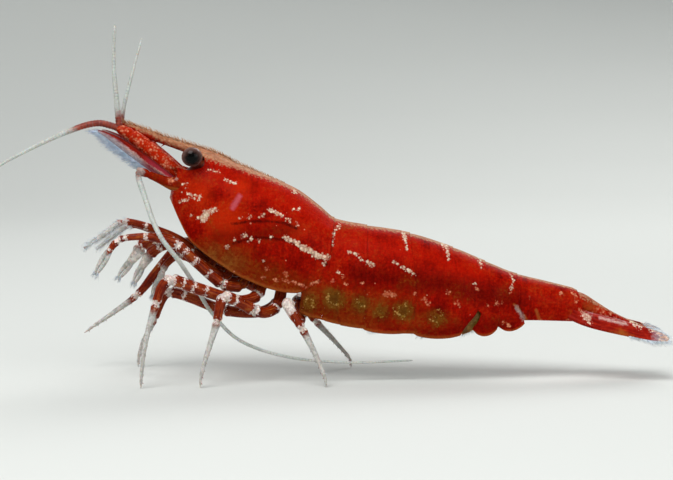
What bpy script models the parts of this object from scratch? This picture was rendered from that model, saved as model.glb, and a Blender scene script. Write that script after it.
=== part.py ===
# A cherry-red dwarf shrimp, life size, standing with its head raised.
# Metres, +Z up. -X is the head end, -Y is the animal's left side, and the feet stand on Z = 0.
# Points are written in millimetres: X from the tip of the rostrum towards the tail, Z above the ground.

import math

import bmesh
import bpy
from mathutils import Vector

MM = 0.001
GAP = 0.06                     # clear space between neighbouring pieces
WALL = 0.45                    # thickness of the hanging shell sides
FEELER = 0.25                  # radius of a feeler
FOOT = 0.25                    # radius of the flat under a foot
STUB = 0.45                    # straight length above each foot
EYE = 0.5                      # radius of an eye

# The back in side view, from the eye to the rear edge of the carapace
BACK = [(4.2, 11.62), (4.9, 11.45), (6.15, 10.9), (8.15, 10.0), (9.15, 9.5), (10.15, 8.7), (10.9, 8.06)]
# The lower edge of the carapace, from below the eye to its rear corner
HEM = [(2.68, 9.3), (3.06, 8.3), (3.68, 7.1), (4.3, 6.5), (5.0, 6.0), (6.0, 5.35), (7.3, 4.75), (9.2, 3.6),
       (10.9, 3.15)]
BROW = [(2.68, 9.95), (3.05, 10.0), (3.45, 10.4), (4.16, 10.56)]  # top of the face, below the eyes
GIRTH = [(2.68, 1.15), (3.4, 1.45), (4.2, 1.7), (5.0, 1.87), (6.5, 2.05), (8.0, 2.15), (9.6, 2.15), (10.9, 2.05)]
CHANNEL = [(2.68, 0.12), (4.0, 0.55), (5.2, 1.0), (10.9, 1.0)]  # depth of the hollow between the sides
SHELF = 0.35                   # how far the thorax lies above the lower edge
THORAX_HALF = 1.02

# Each ring of the abdomen: where its back starts, height of its back there, how far its lower end
# lies behind its upper end, height of its lower edge, depth of its side lobe, and half its width
SOMITES = [
    (10.96, 8.04, -0.60, 3.12, 0.06, 1.98),
    (12.40, 7.7, -0.10, 2.78, 0.24, 2.05),
    (14.54, 7.32, 0.30, 2.68, 0.44, 1.95),
    (16.70, 6.62, 0.55, 2.68, 0.44, 1.72),
    (18.32, 5.93, 0.65, 2.82, 0.34, 1.46),
    (19.94, 5.26, 0.50, 3.06, 0.00, 1.27),
    (22.92, 4.54, 0.10, 2.98, 0.00, 0.82),
]
BULGE = 0.07                   # rise of each ring's back over a straight line
ABDOMEN_CHANNEL = 1.35

MARGIN = math.radians(120)     # angle from the top of a section to its lower edge
WIDEST = 0.42                  # height of a section's widest line, from its lower edge to its top
RIM = 18                       # faces round the outside of a section

SIDES = (("left", -1), ("right", 1))

# Legs and mouth limbs: X, distance from the middle, Z and radius at each joint, from the body out
LIMBS = {
    "maxilliped_left": [(5.0, 0.42, 6.2, .27), (4.55, 0.42, 5.82, .26), (3.22, 0.45, 6.95, .26),
                        (1.74, 0.6, 7.6, .25), (0.4, 0.9, 7.92, .25), (-0.5, 1.1, 7.36, .25),
                        (-1.45, 1.3, 6.72, .25)],
    "maxilliped_right": [(5.0, 0.42, 6.2, .27), (4.55, 0.42, 5.82, .26), (3.22, 0.45, 6.8, .26),
                         (1.74, 0.6, 7.4, .25), (0.5, 0.9, 7.66, .25), (-0.35, 1.1, 7.1, .25),
                         (-1.15, 1.3, 6.45, .25)],
    "pereopod_1_left": [(5.75, 0.7, 5.7, .28), (5.35, 0.85, 5.2, .28), (4.05, 1.15, 6.0, .29),
                        (2.9, 1.22, 6.98, .27), (2.15, 1.3, 7.15, .30), (1.4, 1.35, 6.9, .32),
                        (0.97, 1.35, 6.15, .30), (0.25, 1.3, 5.35, .25)],
    "pereopod_1_right": [(5.75, 0.7, 5.7, .28), (5.35, 0.85, 5.2, .28), (4.1, 1.15, 5.85, .29),
                         (3.0, 1.22, 6.5, .27), (2.2, 1.3, 6.55, .30), (1.5, 1.35, 6.2, .32),
                         (1.1, 1.35, 5.6, .30), (0.75, 1.3, 4.75, .25)],
    "pereopod_2_left": [(6.5, 0.85, 5.32, .28), (6.2, 1.05, 4.72, .28), (5.3, 1.5, 4.88, .29),
                        (4.2, 1.85, 5.85, .30), (3.15, 2.05, 6.86, .30), (1.9, 2.1, 7.26, .27),
                        (0.6, 2.1, 7.22, .27), (-0.3, 2.15, 6.4, .25), (-0.8, 2.2, 5.55, .25)],
    "pereopod_2_right": [(6.5, 0.85, 5.32, .28), (6.2, 1.05, 4.72, .28), (5.2, 1.4, 4.88, .28),
                         (4.05, 1.7, 5.55, .28), (3.0, 1.82, 6.02, .27), (2.3, 1.9, 5.6, .26),
                         (1.85, 1.95, 4.75, .25), (1.55, 2.0, 3.95, .25)],
    "pereopod_3_left": [(7.32, 0.9, 4.92, .28), (7.05, 1.25, 4.28, .29), (6.4, 1.8, 4.1, .29),
                        (5.6, 2.12, 4.26, .31), (4.1, 2.58, 4.8, .31), (2.95, 2.95, 5.22, .31),
                        (2.45, 3.08, 4.85, .31), (2.2, 3.2, 4.1, .27), (1.7, 3.55, 2.2, .25),
                        (1.48, 3.7, STUB, FOOT)],
    "pereopod_3_right": [(7.32, 0.9, 4.92, .28), (7.05, 1.3, 4.4, .29), (6.2, 1.95, 4.7, .29),
                         (4.7, 2.5, 5.75, .30), (3.5, 2.75, 6.55, .30), (2.75, 2.8, 6.35, .30),
                         (1.6, 2.85, 5.0, .29), (0.6, 2.9, 3.85, .27), (-0.75, 3.0, 2.85, .25),
                         (-2.1, 3.1, 1.9, .25)],
    "pereopod_4_left": [(8.2, 0.95, 4.35, .28), (8.0, 1.3, 3.72, .29), (7.5, 1.8, 3.5, .29),
                        (6.9, 2.15, 3.68, .31), (6.0, 2.62, 4.22, .31), (5.5, 2.92, 4.38, .31),
                        (5.28, 3.05, 3.9, .29), (5.15, 3.12, 3.2, .27), (4.62, 3.4, 1.5, .25),
                        (4.35, 3.5, STUB, FOOT)],
    "pereopod_4_right": [(8.2, 0.95, 4.35, .28), (8.0, 1.3, 3.65, .29), (7.0, 1.8, 3.1, .29),
                         (5.2, 2.3, 3.15, .30), (3.4, 2.75, 3.75, .30), (2.35, 2.98, 4.0, .31),
                         (1.95, 3.05, 3.7, .29), (1.5, 3.12, 2.6, .27), (0.85, 3.3, 1.3, .25),
                         (0.6, 3.4, STUB, FOOT)],
    "pereopod_5_left": [(9.15, 1.0, 3.72, .28), (9.2, 1.35, 3.12, .28), (8.95, 2.0, 3.3, .29),
                        (8.6, 2.55, 4.05, .31), (8.72, 2.8, 3.75, .30), (9.3, 2.95, 2.85, .27),
                        (9.95, 3.15, 1.6, .25), (10.45, 3.3, STUB, FOOT)],
    "pereopod_5_right": [(9.15, 1.0, 3.72, .28), (9.2, 1.35, 3.12, .28), (9.0, 2.0, 3.1, .29),
                         (9.0, 2.55, 3.75, .30), (9.3, 2.8, 3.3, .29), (9.9, 2.95, 2.5, .27),
                         (10.9, 3.2, 1.4, .25), (11.75, 3.4, STUB, FOOT)],
}
STANDING = ("pereopod_3_left", "pereopod_4_left", "pereopod_4_right", "pereopod_5_left", "pereopod_5_right")

# Feelers: X, Y and Z of the points that their smooth routes pass through
FEELERS = {
    "antennule_upper_left": [(0.12, -0.45, 13.02), (0.05, -0.5, 14.0), (-0.05, -0.58, 15.4),
                             (-0.05, -0.6, 16.6), (0.02, -0.6, 17.75)],
    "antennule_upper_right": [(0.18, 0.45, 13.02), (0.34, 0.62, 13.9), (0.66, 0.92, 15.2), (1.15, 1.3, 17.1)],
    "antennule_lower_left": [(-0.2, -0.47, 12.66), (-1.0, -0.6, 12.8), (-2.3, -0.8, 12.42),
                             (-4.2, -1.15, 11.55), (-5.8, -1.5, 10.68), (-7.3, -1.85, 9.8)],
    "antennule_lower_right": [(-0.2, 0.47, 12.66), (-1.1, 0.65, 12.84), (-2.4, 0.85, 12.5),
                              (-4.3, 1.15, 11.65), (-6.0, 1.5, 10.75), (-7.2, 1.85, 10.1)],
    "antenna_flagellum_left": [(1.27, -1.3, 9.62), (1.5, -1.75, 8.95), (1.95, -2.4, 8.1), (2.5, -2.85, 7.2),
                               (3.3, -2.65, 6.1), (4.0, -1.85, 4.85), (4.8, -1.75, 3.5), (6.2, -1.75, 2.1),
                               (8.6, -1.6, 1.25), (11.6, -1.35, 0.95), (14.8, -1.0, 1.0)],
    "antenna_flagellum_right": [(1.05, 1.35, 10.1), (0.9, 1.95, 10.25), (1.3, 2.75, 10.15), (2.6, 3.3, 9.5),
                                (5.0, 3.55, 8.2), (8.4, 3.5, 6.5), (12.6, 3.1, 5.2), (17.0, 2.6, 4.4),
                                (21.4, 2.1, 3.6)],
}

# The stalk that carries the two feelers of each antennule, and the root of each antenna
PEDUNCLE = [(2.98, 0.5, 10.42, .30), (2.5, 0.52, 10.72, .37), (1.86, 0.5, 11.32, .36), (1.1, 0.48, 11.95, .33),
            (0.14, 0.46, 12.56, .22)]
ANTENNA_ROOT = [(2.62, 1.1, 9.58, .27), (2.0, 1.18, 9.74, .29), (1.42, 1.22, 9.9, .26)]
EYE_CENTRE = (3.86, 1.5, 11.18)
EYE_STALK = [(3.72, 0.42, 11.1, .24), (3.76, 0.7, 11.13, .3), (3.8, 0.98, 11.16, .36)]

# Blades: X, distance from the middle, Z and half width at each station; then half the thickness,
# and the direction that the flat of a left-hand blade faces
SCALE = [(2.35, 0.98, 10.35, .30), (1.5, 0.92, 10.92, .46), (0.5, 0.86, 11.55, .48), (-0.4, 0.8, 12.1, .34),
         (-0.85, 0.78, 12.36, .14)]
SCALE_FACE = (-0.2, -0.72, -0.45)
UROPODS = {
    "uropod_endopod": ([(23.3, 0.60, 2.9, .26), (24.2, 0.80, 2.66, .38), (25.6, 0.84, 2.28, .44),
                        (26.6, 0.80, 2.02, .36), (27.3, 0.76, 1.86, .18)], (0.2, -0.2, 0.95)),
    "uropod_exopod": ([(23.35, 1.22, 2.88, .22), (24.2, 1.58, 2.68, .32), (25.8, 1.78, 2.26, .42),
                       (27.0, 1.76, 1.93, .38), (27.9, 1.62, 1.68, .18)], (0.2, -0.4, 0.9)),
}
TELSON = [(22.98, 3.4, 4.46, .74), (23.8, 3.1, 3.86, .48), (24.8, 2.78, 3.3, .42), (26.0, 2.35, 2.86, .34),
          (27.0, 2.05, 2.52, .24)]   # X, underside, top and half width
PLEOPOD_REACH = (0.30, 0.30, 0.20)   # distance from the middle, backward lean, height over the lobe

ROSTRUM = [(0.04, 12.78, 12.98), (1.15, 12.38, 12.72), (2.15, 11.92, 12.42), (3.15, 11.5, 12.1),
           (4.12, 11.0, 11.72)]      # X, lower edge and upper edge of the blade
ROSTRUM_HALF = 0.25

COLOURS = {
    "shell": (0.30, 0.008, 0.004), "belly": (0.14, 0.03, 0.008), "limb": (0.22, 0.03, 0.015),
    "feeler": (0.42, 0.40, 0.36), "eye": (0.02, 0.012, 0.012), "blade": (0.24, 0.05, 0.02),
}


def clear_scene():
    for thing in list(bpy.data.objects):
        bpy.data.objects.remove(thing, do_unlink=True)


def make_material(name, roughness=0.35):
    material = bpy.data.materials.new(name)
    material.use_nodes = True
    shader = material.node_tree.nodes["Principled BSDF"]
    shader.inputs["Base Color"].default_value = (*COLOURS[name], 1.0)
    shader.inputs["Roughness"].default_value = roughness
    shader.inputs["Metallic"].default_value = 0.0
    return material


def on_curve(stations, x):
    """Value at x on a smooth curve through (x, value) stations."""
    last = len(stations) - 2
    span = max(i for i in range(last + 1) if i == 0 or stations[i][0] <= x)
    (x0, v0), (x1, v1) = stations[span], stations[span + 1]

    def slope(i):
        before, after = stations[max(i - 1, 0)], stations[min(i + 1, last + 1)]
        return (after[1] - before[1]) / (after[0] - before[0])

    width = x1 - x0
    t = (x - x0) / width
    rise = (1 + 2 * t) * (1 - t) ** 2 * v0 + t * t * (3 - 2 * t) * v1
    return rise + width * t * (1 - t) * ((1 - t) * slope(span) - t * slope(span + 1))


def smooth_route(points, spacing):
    """Points about spacing apart on a smooth curve through the given ones, of any number of values."""
    route = []
    for i in range(len(points) - 1):
        a, b = Vector(points[i]), Vector(points[i + 1])
        before = Vector(points[i - 1]) if i else a
        after = Vector(points[i + 2]) if i + 2 < len(points) else b
        steps = max(1, round((b - a).length / spacing))
        for k in range(steps):
            t = k / steps
            ease_in = -0.5 * t + t * t - 0.5 * t ** 3
            ease_out = -0.5 * t * t + 0.5 * t ** 3
            hold_a = 1 - 2.5 * t * t + 1.5 * t ** 3
            hold_b = 0.5 * t + 2 * t * t - 1.5 * t ** 3
            route.append(before * ease_in + a * hold_a + b * hold_b + after * ease_out)
    route.append(Vector(points[-1]))
    return route


def add_tube(name, route, material, sides_step=2):
    """A tube along (x, y, z, radius) points, with flat ends."""
    curve = bpy.data.curves.new(name, "CURVE")
    curve.dimensions = "3D"
    curve.bevel_depth = MM
    curve.bevel_resolution = sides_step
    curve.use_fill_caps = True
    spline = curve.splines.new("POLY")
    spline.points.add(len(route) - 1)
    for point, (x, y, z, radius) in zip(spline.points, route):
        point.co = (x * MM, y * MM, z * MM, 1.0)
        point.radius = radius
    return add_object(name, curve, material)


def add_object(name, data, material):
    thing = bpy.data.objects.new(name, data)
    data.materials.append(material)
    parts.objects.link(thing)
    return thing


def add_loft(name, rings, material):
    """A closed body through rings of points, all with the same count."""
    mesh = bpy.data.meshes.new(name)
    shape = bmesh.new()
    loops = [[shape.verts.new(Vector(p) * MM) for p in ring] for ring in rings]
    for lower, upper in zip(loops, loops[1:]):
        for i, corner in enumerate(lower):
            j = (i + 1) % len(lower)
            shape.faces.new((corner, lower[j], upper[j], upper[i]))
    shape.faces.new(loops[0][::-1])
    shape.faces.new(loops[-1])
    bmesh.ops.recalc_face_normals(shape, faces=shape.faces)
    shape.to_mesh(mesh)
    shape.free()
    return add_object(name, mesh, material)


def shell_ring(x, top, bottom, half_width, depth, lean=0.0):
    """A section of the shell: over the back from edge to edge, then round the hollow below it."""
    widest = bottom + WIDEST * (top - bottom)
    below = (bottom - widest) / math.cos(MARGIN)
    outline = []
    for i in range(RIM + 1):
        angle = MARGIN * (2 * i / RIM - 1)
        rise = below if abs(angle) > math.pi / 2 else top - widest
        outline.append((half_width * math.sin(angle), widest + rise * math.cos(angle)))
    if depth:
        inner = half_width * math.sin(MARGIN) - WALL
        outline += [(inner, bottom), (inner * 0.96, bottom + depth), (-inner * 0.96, bottom + depth),
                    (-inner, bottom)]
    return [(x + lean * (top - z) / (top - bottom), y, z) for y, z in outline]


def make_carapace():
    face = [2.68, 2.88, 3.05, 3.25, 3.45, 3.8, 4.16]
    trunk = [4.22, 4.6, 5.2, 6.0, 6.9, 7.8, 8.7, 9.5, 10.2, 10.9 - GAP]
    rings = [shell_ring(x, on_curve(BROW, x), on_curve(HEM, x), on_curve(GIRTH, x), on_curve(CHANNEL, x))
             for x in face]
    for x in trunk:
        lean = SOMITES[0][2] * max(0.0, (x - 8.0) / 2.9)
        rings.append(shell_ring(x, on_curve(BACK, x), on_curve(HEM, x), on_curve(GIRTH, x),
                                on_curve(CHANNEL, x), lean))
    add_loft("carapace", rings, materials["shell"])


def make_rostrum():
    rings = []
    for x, low, high in ROSTRUM:
        half = ROSTRUM_HALF * (0.7 if x < 1.0 else 1.0)
        middle = (low + high) / 2
        rings.append([(x, -half * 0.6, high), (x, half * 0.6, high), (x, half, middle), (x, half * 0.6, low),
                      (x, -half * 0.6, low), (x, -half, middle)])
    add_loft("rostrum", rings, materials["shell"])


def make_thorax():
    rings = []
    for x in (4.6, 5.4, 6.3, 7.2, 8.1, 9.0, 9.7):
        low = on_curve(HEM, x) + SHELF
        high = on_curve(HEM, x) + on_curve(CHANNEL, x) - 2 * GAP
        half = min(THORAX_HALF, on_curve(GIRTH, x) * math.sin(MARGIN) - WALL - 2 * GAP)
        rings.append([(x, -half, low), (x, half, low), (x, half, high), (x, -half, high)])
    add_loft("thorax", rings, materials["belly"])


def make_abdomen():
    for number, (front, rear) in enumerate(zip(SOMITES, SOMITES[1:]), start=1):
        rings = []
        closed = front[4] == 0
        for step in range(5):
            t = step / 4
            x0, top, lean, edge, _, half = [a + (b - a) * t for a, b in zip(front, rear)]
            x = x0 - GAP * t
            arch = math.sin(math.pi * t)
            rings.append(shell_ring(x, top + BULGE * arch, edge - front[4] * arch, half,
                                    0.0 if closed else ABDOMEN_CHANNEL, lean))
        add_loft("abdomen_segment_%d" % number, rings, materials["shell"])


def make_pleopods():
    offset, lean, clearance = PLEOPOD_REACH
    for number, (front, rear) in enumerate(zip(SOMITES[:5], SOMITES[1:6]), start=1):
        middle = [(a + b) / 2 for a, b in zip(front, rear)]
        foot_x = middle[0] + middle[2] + lean / 2
        low = middle[3] - front[4] + clearance
        high = middle[3] - front[4] + ABDOMEN_CHANNEL - 2 * GAP
        width = min(0.48, (rear[0] - front[0]) / 2 - 2 * GAP)
        for side, sign in SIDES:
            rings = []
            for z, half, shift in ((high, 0.28, -lean), (high - 0.45, width, -lean / 3), (low, width * 0.7, lean)):
                x, y = foot_x + shift, sign * offset
                rings.append([(x - half, y - 0.25, z), (x + half, y - 0.25, z), (x + half, y + 0.25, z),
                              (x - half, y + 0.25, z)])
            add_loft("pleopod_%d_%s" % (number, side), rings, materials["blade"])


def blade_rings(stations, facing, sign):
    """Rounded flat sections along the stations, their flats turned to facing."""
    points = [Vector((x, sign * y, z)) for x, y, z, _ in stations]
    normal = Vector((facing[0], -facing[1] * sign, facing[2])).normalized()
    rings = []
    for i, centre in enumerate(points):
        along = (points[min(i + 1, len(points) - 1)] - points[max(i - 1, 0)]).normalized()
        across = along.cross(normal).normalized()
        up = across.cross(along).normalized()
        half = stations[i][3]
        ring = []
        for corner in range(8):
            angle = math.pi / 4 * corner
            ring.append(centre + across * half * math.cos(angle) + up * 0.25 * math.sin(angle))
        rings.append(ring)
    return rings


def make_tail():
    rings = []
    for x, low, high, half in TELSON:
        rings.append([(x, -half, low), (x, half, low), (x, half, (low + high) / 2), (x, half * 0.5, high),
                      (x, -half * 0.5, high), (x, -half, (low + high) / 2)])
    add_loft("telson", rings, materials["shell"])
    for name, (stations, facing) in UROPODS.items():
        for side, sign in SIDES:
            add_loft("%s_%s" % (name, side), blade_rings(stations, facing, sign), materials["blade"])


def make_head():
    for side, sign in SIDES:
        x, y, z = EYE_CENTRE
        bpy.ops.mesh.primitive_uv_sphere_add(segments=14, ring_count=9, radius=EYE * MM,
                                             location=(x * MM, sign * y * MM, z * MM))
        eye = bpy.context.object
        eye.name = "eye_%s" % side
        eye.data.materials.append(materials["eye"])
        for collection in list(eye.users_collection):
            collection.objects.unlink(eye)
        parts.objects.link(eye)
        for name, stations, material in (("eyestalk", EYE_STALK, "shell"), ("antennule_peduncle", PEDUNCLE, "shell"),
                                         ("antenna_root", ANTENNA_ROOT, "limb")):
            route = smooth_route([(px, sign * py, pz, r) for px, py, pz, r in stations], 0.35)
            add_tube("%s_%s" % (name, side), route, materials[material])
        add_loft("antenna_scale_%s" % side, blade_rings(SCALE, SCALE_FACE, sign), materials["blade"])


def make_limbs():
    for name, joints in LIMBS.items():
        sign = -1 if name.endswith("left") else 1
        route = smooth_route([(x, sign * y, z, r) for x, y, z, r in joints], 0.55)
        if name in STANDING:
            x, y, _, radius = route[-1]
            route.append(Vector((x, y, 0.0, radius)))
        add_tube(name, route, materials["limb"])


def make_feelers():
    for name, points in FEELERS.items():
        route = smooth_route([(x, y, z, FEELER) for x, y, z in points], 0.9)
        add_tube(name, route, materials["feeler"], sides_step=1)


def box_middle():
    """Middle of the whole animal's box in X and Y."""
    bpy.context.view_layer.update()
    graph = bpy.context.evaluated_depsgraph_get()
    spots = []
    for thing in parts.objects:
        seen = thing.evaluated_get(graph)
        mesh = seen.to_mesh()
        spots += [seen.matrix_world @ v.co for v in mesh.vertices]
        seen.to_mesh_clear()
    return [(min(s[i] for s in spots) + max(s[i] for s in spots)) / 2 for i in range(2)]


clear_scene()
parts = bpy.data.collections.new("aquarium_shrimp")
bpy.context.scene.collection.children.link(parts)
materials = {name: make_material(name) for name in COLOURS}

make_carapace()
make_rostrum()
make_thorax()
make_abdomen()
make_pleopods()
make_tail()
make_head()
make_limbs()
make_feelers()

# The origin lies under the middle of the animal's box, on the ground
middle_x, middle_y = box_middle()
stance = bpy.data.objects.new("stance", None)
parts.objects.link(stance)
stance.location = (-middle_x, -middle_y, 0.0)
for piece in parts.objects:
    if piece is not stance:
        piece.parent = stance
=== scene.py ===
# Looks of a cherry-red dwarf shrimp, life size, standing on a pale floor with its head raised.
# Everything is modelled in millimetres: X from the tip of the rostrum towards the tail, -Y the animal's
# left side, Z above the floor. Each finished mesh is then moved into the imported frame's own place.

import math

import bmesh
import bpy
import numpy as np
from mathutils import Matrix, Vector


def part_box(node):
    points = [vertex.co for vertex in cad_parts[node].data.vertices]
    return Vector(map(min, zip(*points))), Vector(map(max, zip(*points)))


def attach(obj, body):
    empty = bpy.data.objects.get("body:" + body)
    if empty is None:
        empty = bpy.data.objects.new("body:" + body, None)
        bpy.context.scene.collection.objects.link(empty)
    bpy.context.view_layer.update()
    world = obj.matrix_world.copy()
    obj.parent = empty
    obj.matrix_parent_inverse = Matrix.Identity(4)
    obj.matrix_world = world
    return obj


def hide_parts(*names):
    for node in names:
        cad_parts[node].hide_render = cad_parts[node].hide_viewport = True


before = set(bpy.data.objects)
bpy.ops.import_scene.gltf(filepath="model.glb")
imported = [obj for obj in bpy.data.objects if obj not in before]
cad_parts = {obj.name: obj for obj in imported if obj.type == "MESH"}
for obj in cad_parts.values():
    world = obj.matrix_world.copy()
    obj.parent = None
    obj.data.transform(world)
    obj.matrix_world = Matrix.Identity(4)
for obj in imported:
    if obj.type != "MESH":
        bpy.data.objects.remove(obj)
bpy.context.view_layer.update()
scene = bpy.context.scene
chance = np.random.default_rng(7)

eyeMiddle = Vector((3.86, -1.5, 11.18))      # the left eye, whose place in the frame is known
eyeLow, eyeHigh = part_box("eye_left")
toFrame = Matrix.Translation((eyeLow + eyeHigh) / 2) @ Matrix.Scale(0.001, 4) @ Matrix.Translation(-eyeMiddle)
sides = (("left", -1), ("right", 1))


# ---- curves, sheets and sweeps

def onCurve(stations, x):                    # height at x of a smooth line through (x, height) stations
    xs, heights = np.array(stations, float).T
    last = len(xs) - 1
    rank = np.arange(last + 1)
    before, after = np.maximum(rank - 1, 0), np.minimum(rank + 1, last)
    slopes = (heights[after] - heights[before]) / (xs[after] - xs[before])
    x = np.clip(x, xs[0], xs[-1])
    span = np.clip(np.searchsorted(xs, x, side="right") - 1, 0, last - 1)
    width = xs[span + 1] - xs[span]
    t = (x - xs[span]) / width
    rise = (1 + 2 * t) * (1 - t) ** 2 * heights[span] + t * t * (3 - 2 * t) * heights[span + 1]
    return rise + width * t * (1 - t) * ((1 - t) * slopes[span] - t * slopes[span + 1])


def ease(low, high, x):                      # 0 below low, 1 above high, smooth between
    t = np.clip((x - low) / (high - low), 0, 1)
    return t * t * (3 - 2 * t)


def smoothRoute(points, spacing):            # rows about spacing apart on a smooth curve through the points
    points = np.array(points, float)
    rows = []
    for i in range(len(points) - 1):
        a, b = points[i], points[i + 1]
        before, after = points[max(i - 1, 0)], points[min(i + 2, len(points) - 1)]
        steps = max(1, round(np.linalg.norm((b - a)[:3]) / spacing))
        for k in range(steps):
            t = k / steps
            rows.append(before * (-0.5 * t + t * t - 0.5 * t ** 3) + a * (1 - 2.5 * t * t + 1.5 * t ** 3)
                        + b * (0.5 * t + 2 * t * t - 1.5 * t ** 3) + after * (-0.5 * t * t + 0.5 * t ** 3))
    rows.append(points[-1])
    return np.array(rows)


def straightRoute(start, end, spacing):      # rows along X, the last of them short of end
    return np.array([(x, 0.0, 0.0) for x in np.arange(start, end, spacing)])


def unit(vectors):
    return vectors / np.linalg.norm(vectors, axis=-1, keepdims=True)


def framesAlong(route, facing=None):         # direction, normal and crosswise vector at each row of a route
    along = unit(np.gradient(route[:, :3], axis=0))
    guide = np.array(facing if facing is not None else (0.3, 1.0, 0.2), float)
    normal = np.zeros_like(along)
    for i, direction in enumerate(along):
        start = guide if facing is not None or i == 0 else normal[i - 1]
        normal[i] = unit(start - direction * np.dot(start, direction))
    return along, normal, np.cross(along, normal)


def distances(route):
    return np.concatenate([[0.0], np.cumsum(np.linalg.norm(np.diff(route[:, :3], axis=0), axis=1))])


def gridOf(columns, rows):                   # a flat grid and the two shares, 0 to 1, of each of its vertices
    bm = bmesh.new()
    bmesh.ops.create_grid(bm, x_segments=columns, y_segments=rows, size=0.5)
    shares = np.array([vert.co[:2] for vert in bm.verts]) + 0.5
    return bm, shares[:, 0], shares[:, 1]


def setSpots(bm, spots, run, turn):          # moves the vertices and remembers where each lies on its sheet
    runLayer, turnLayer = bm.verts.layers.float.new("run"), bm.verts.layers.float.new("turn")
    for vert, spot, along, around in zip(bm.verts, spots, run, turn):
        vert.co = spot
        vert[runLayer] = along
        vert[turnLayer] = around


def sweep(route, around, section, facing=None):
    # A closed body along a route. section(row, angle) gives how far each vertex stands out crosswise and up.
    along, normal, across = framesAlong(route, facing)
    bm, u, v = gridOf(len(route) - 1, around)
    row = np.rint(u * (len(route) - 1)).astype(int)
    out, up = section(row, v * 2 * math.pi)
    spots = route[row, :3] + across[row] * out[:, None] + normal[row] * up[:, None]
    setSpots(bm, spots, distances(route)[row], np.cos(v * 2 * math.pi))
    bmesh.ops.remove_doubles(bm, verts=bm.verts, dist=0.0002)
    bmesh.ops.holes_fill(bm, edges=[edge for edge in bm.edges if edge.is_boundary])
    bmesh.ops.recalc_face_normals(bm, faces=bm.faces)
    return bm


def shellSheet(steps, shape, thickness):     # a curved plate with a wall, its outside where shape puts it
    bm, u, v = gridOf(*steps)
    setSpots(bm, shape(u, v), u, v)
    bm.normal_update()
    outward = sum(face.normal.y * face.calc_center_median().y for face in bm.faces)
    if outward < 0:
        bmesh.ops.reverse_faces(bm, faces=bm.faces)
    bmesh.ops.solidify(bm, geom=bm.faces[:], thickness=thickness)
    bmesh.ops.recalc_face_normals(bm, faces=bm.faces)
    return bm


def join(bm, other):                         # adds other's shape to bm
    spare = bpy.data.meshes.new("spare")
    other.to_mesh(spare)
    other.free()
    bm.from_mesh(spare)
    bpy.data.meshes.remove(spare)


def finishPiece(name, shape, look, nodes=(), paint=None):
    # a mesh, or a bmesh that is written to one, gets its painted fields and its material, and joins the frame
    mesh, material = shape, materials[look]
    if isinstance(shape, bmesh.types.BMesh):
        mesh = bpy.data.meshes.new(name)
        shape.to_mesh(mesh)
        shape.free()
    spots = np.zeros(len(mesh.vertices) * 3, np.float32)
    mesh.vertices.foreach_get("co", spots)
    own = {}
    for layer in ("run", "turn"):
        own[layer] = np.zeros(len(mesh.vertices), np.float32)
        if layer in mesh.attributes:
            mesh.attributes[layer].data.foreach_get("value", own[layer])
    fields = {field: -1.0 for field in fieldsOf.get(material.name, [])}
    fields.update(paint(spots.reshape(-1, 3), own["run"], own["turn"]) if paint else {})
    for field, values in fields.items():
        attribute = mesh.attributes.new(field, "FLOAT", "POINT")
        attribute.data.foreach_set("value", np.full(len(mesh.vertices), values, np.float32))
    mesh.transform(toFrame)
    mesh.shade_smooth()
    mesh.materials.append(material)
    piece = bpy.data.objects.new(name, mesh)
    scene.collection.objects.link(piece)
    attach(piece, "root")
    if nodes:
        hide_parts(*nodes)
    return piece


def spike(bm, root, tip, radius):            # a small cone from root to tip
    root, tip = Vector(root), Vector(tip)
    turn = (tip - root).to_track_quat("Z", "Y").to_matrix().to_4x4()
    bmesh.ops.create_cone(bm, cap_ends=True, segments=6, radius1=radius, radius2=radius * 0.08,
                          depth=(tip - root).length, matrix=Matrix.Translation((root + tip) / 2) @ turn)


bristleRings = 4


def scattered(count, spread):
    return chance.normal(0.0, spread, (count, 3))


def bristles(name, roots, tips, bends, radius):
    # Tapering hairs as one mesh from arrays: each has a root, a tip, and a sideways bend at its middle.
    roots, tips, bends = np.array(roots, float), np.array(tips, float), np.array(bends, float)
    way = unit(tips - roots)
    first = unit(np.cross(way, np.where(np.abs(way[:, :1]) > 0.8, (0.0, 1.0, 0.0), (1.0, 0.0, 0.0))))
    second = np.cross(way, first)
    rings = []
    for ring in range(bristleRings):
        t = ring / bristleRings
        middle = roots + (tips - roots) * t + bends * 4 * t * (1 - t)
        for corner in range(3):
            angle = 2 * math.pi * corner / 3
            rings.append(middle + radius * (1 - 0.8 * t) * (first * math.cos(angle) + second * math.sin(angle)))
    rings.append(tips)
    each = len(rings)
    spots = np.stack(rings, axis=1).reshape(-1, 3)
    faces = [(0, 2, 1)]
    for ring in range(bristleRings - 1):
        for corner in range(3):
            a, b = ring * 3 + corner, ring * 3 + (corner + 1) % 3
            faces.append((a, b, b + 3, a + 3))
    top = (bristleRings - 1) * 3
    faces += [(top + corner, top + (corner + 1) % 3, each - 1) for corner in range(3)]
    mesh = bpy.data.meshes.new(name)
    mesh.from_pydata(spots.tolist(), [], [tuple(corner + each * k for corner in face)
                                          for k in range(len(roots)) for face in faces])
    patches = mesh.uv_layers.new(name="OFBake")      # one small patch for each hair
    corners = np.zeros(len(mesh.loops), np.int32)
    mesh.loops.foreach_get("vertex_index", corners)
    hair, part = corners // each, corners % each
    wide = math.ceil(math.sqrt(len(roots)))
    uv = np.stack([(hair % wide + 0.3 + 0.1 * (part % 3)) / wide,
                   (hair // wide + 0.3 + 0.1 * (part // 3)) / wide], 1)
    patches.data.foreach_set("uv", uv.astype(np.float32).ravel())
    return mesh


def finishHairs(name, tufts, look, stray, radius):
    # tufts of (roots, tips) as one piece; the middle of each hair bends aside by about stray
    roots, tips = (np.concatenate(group) for group in zip(*tufts))
    finishPiece(name, bristles(name, roots, tips, scattered(len(roots), stray), radius), look)


# ---- materials

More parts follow.
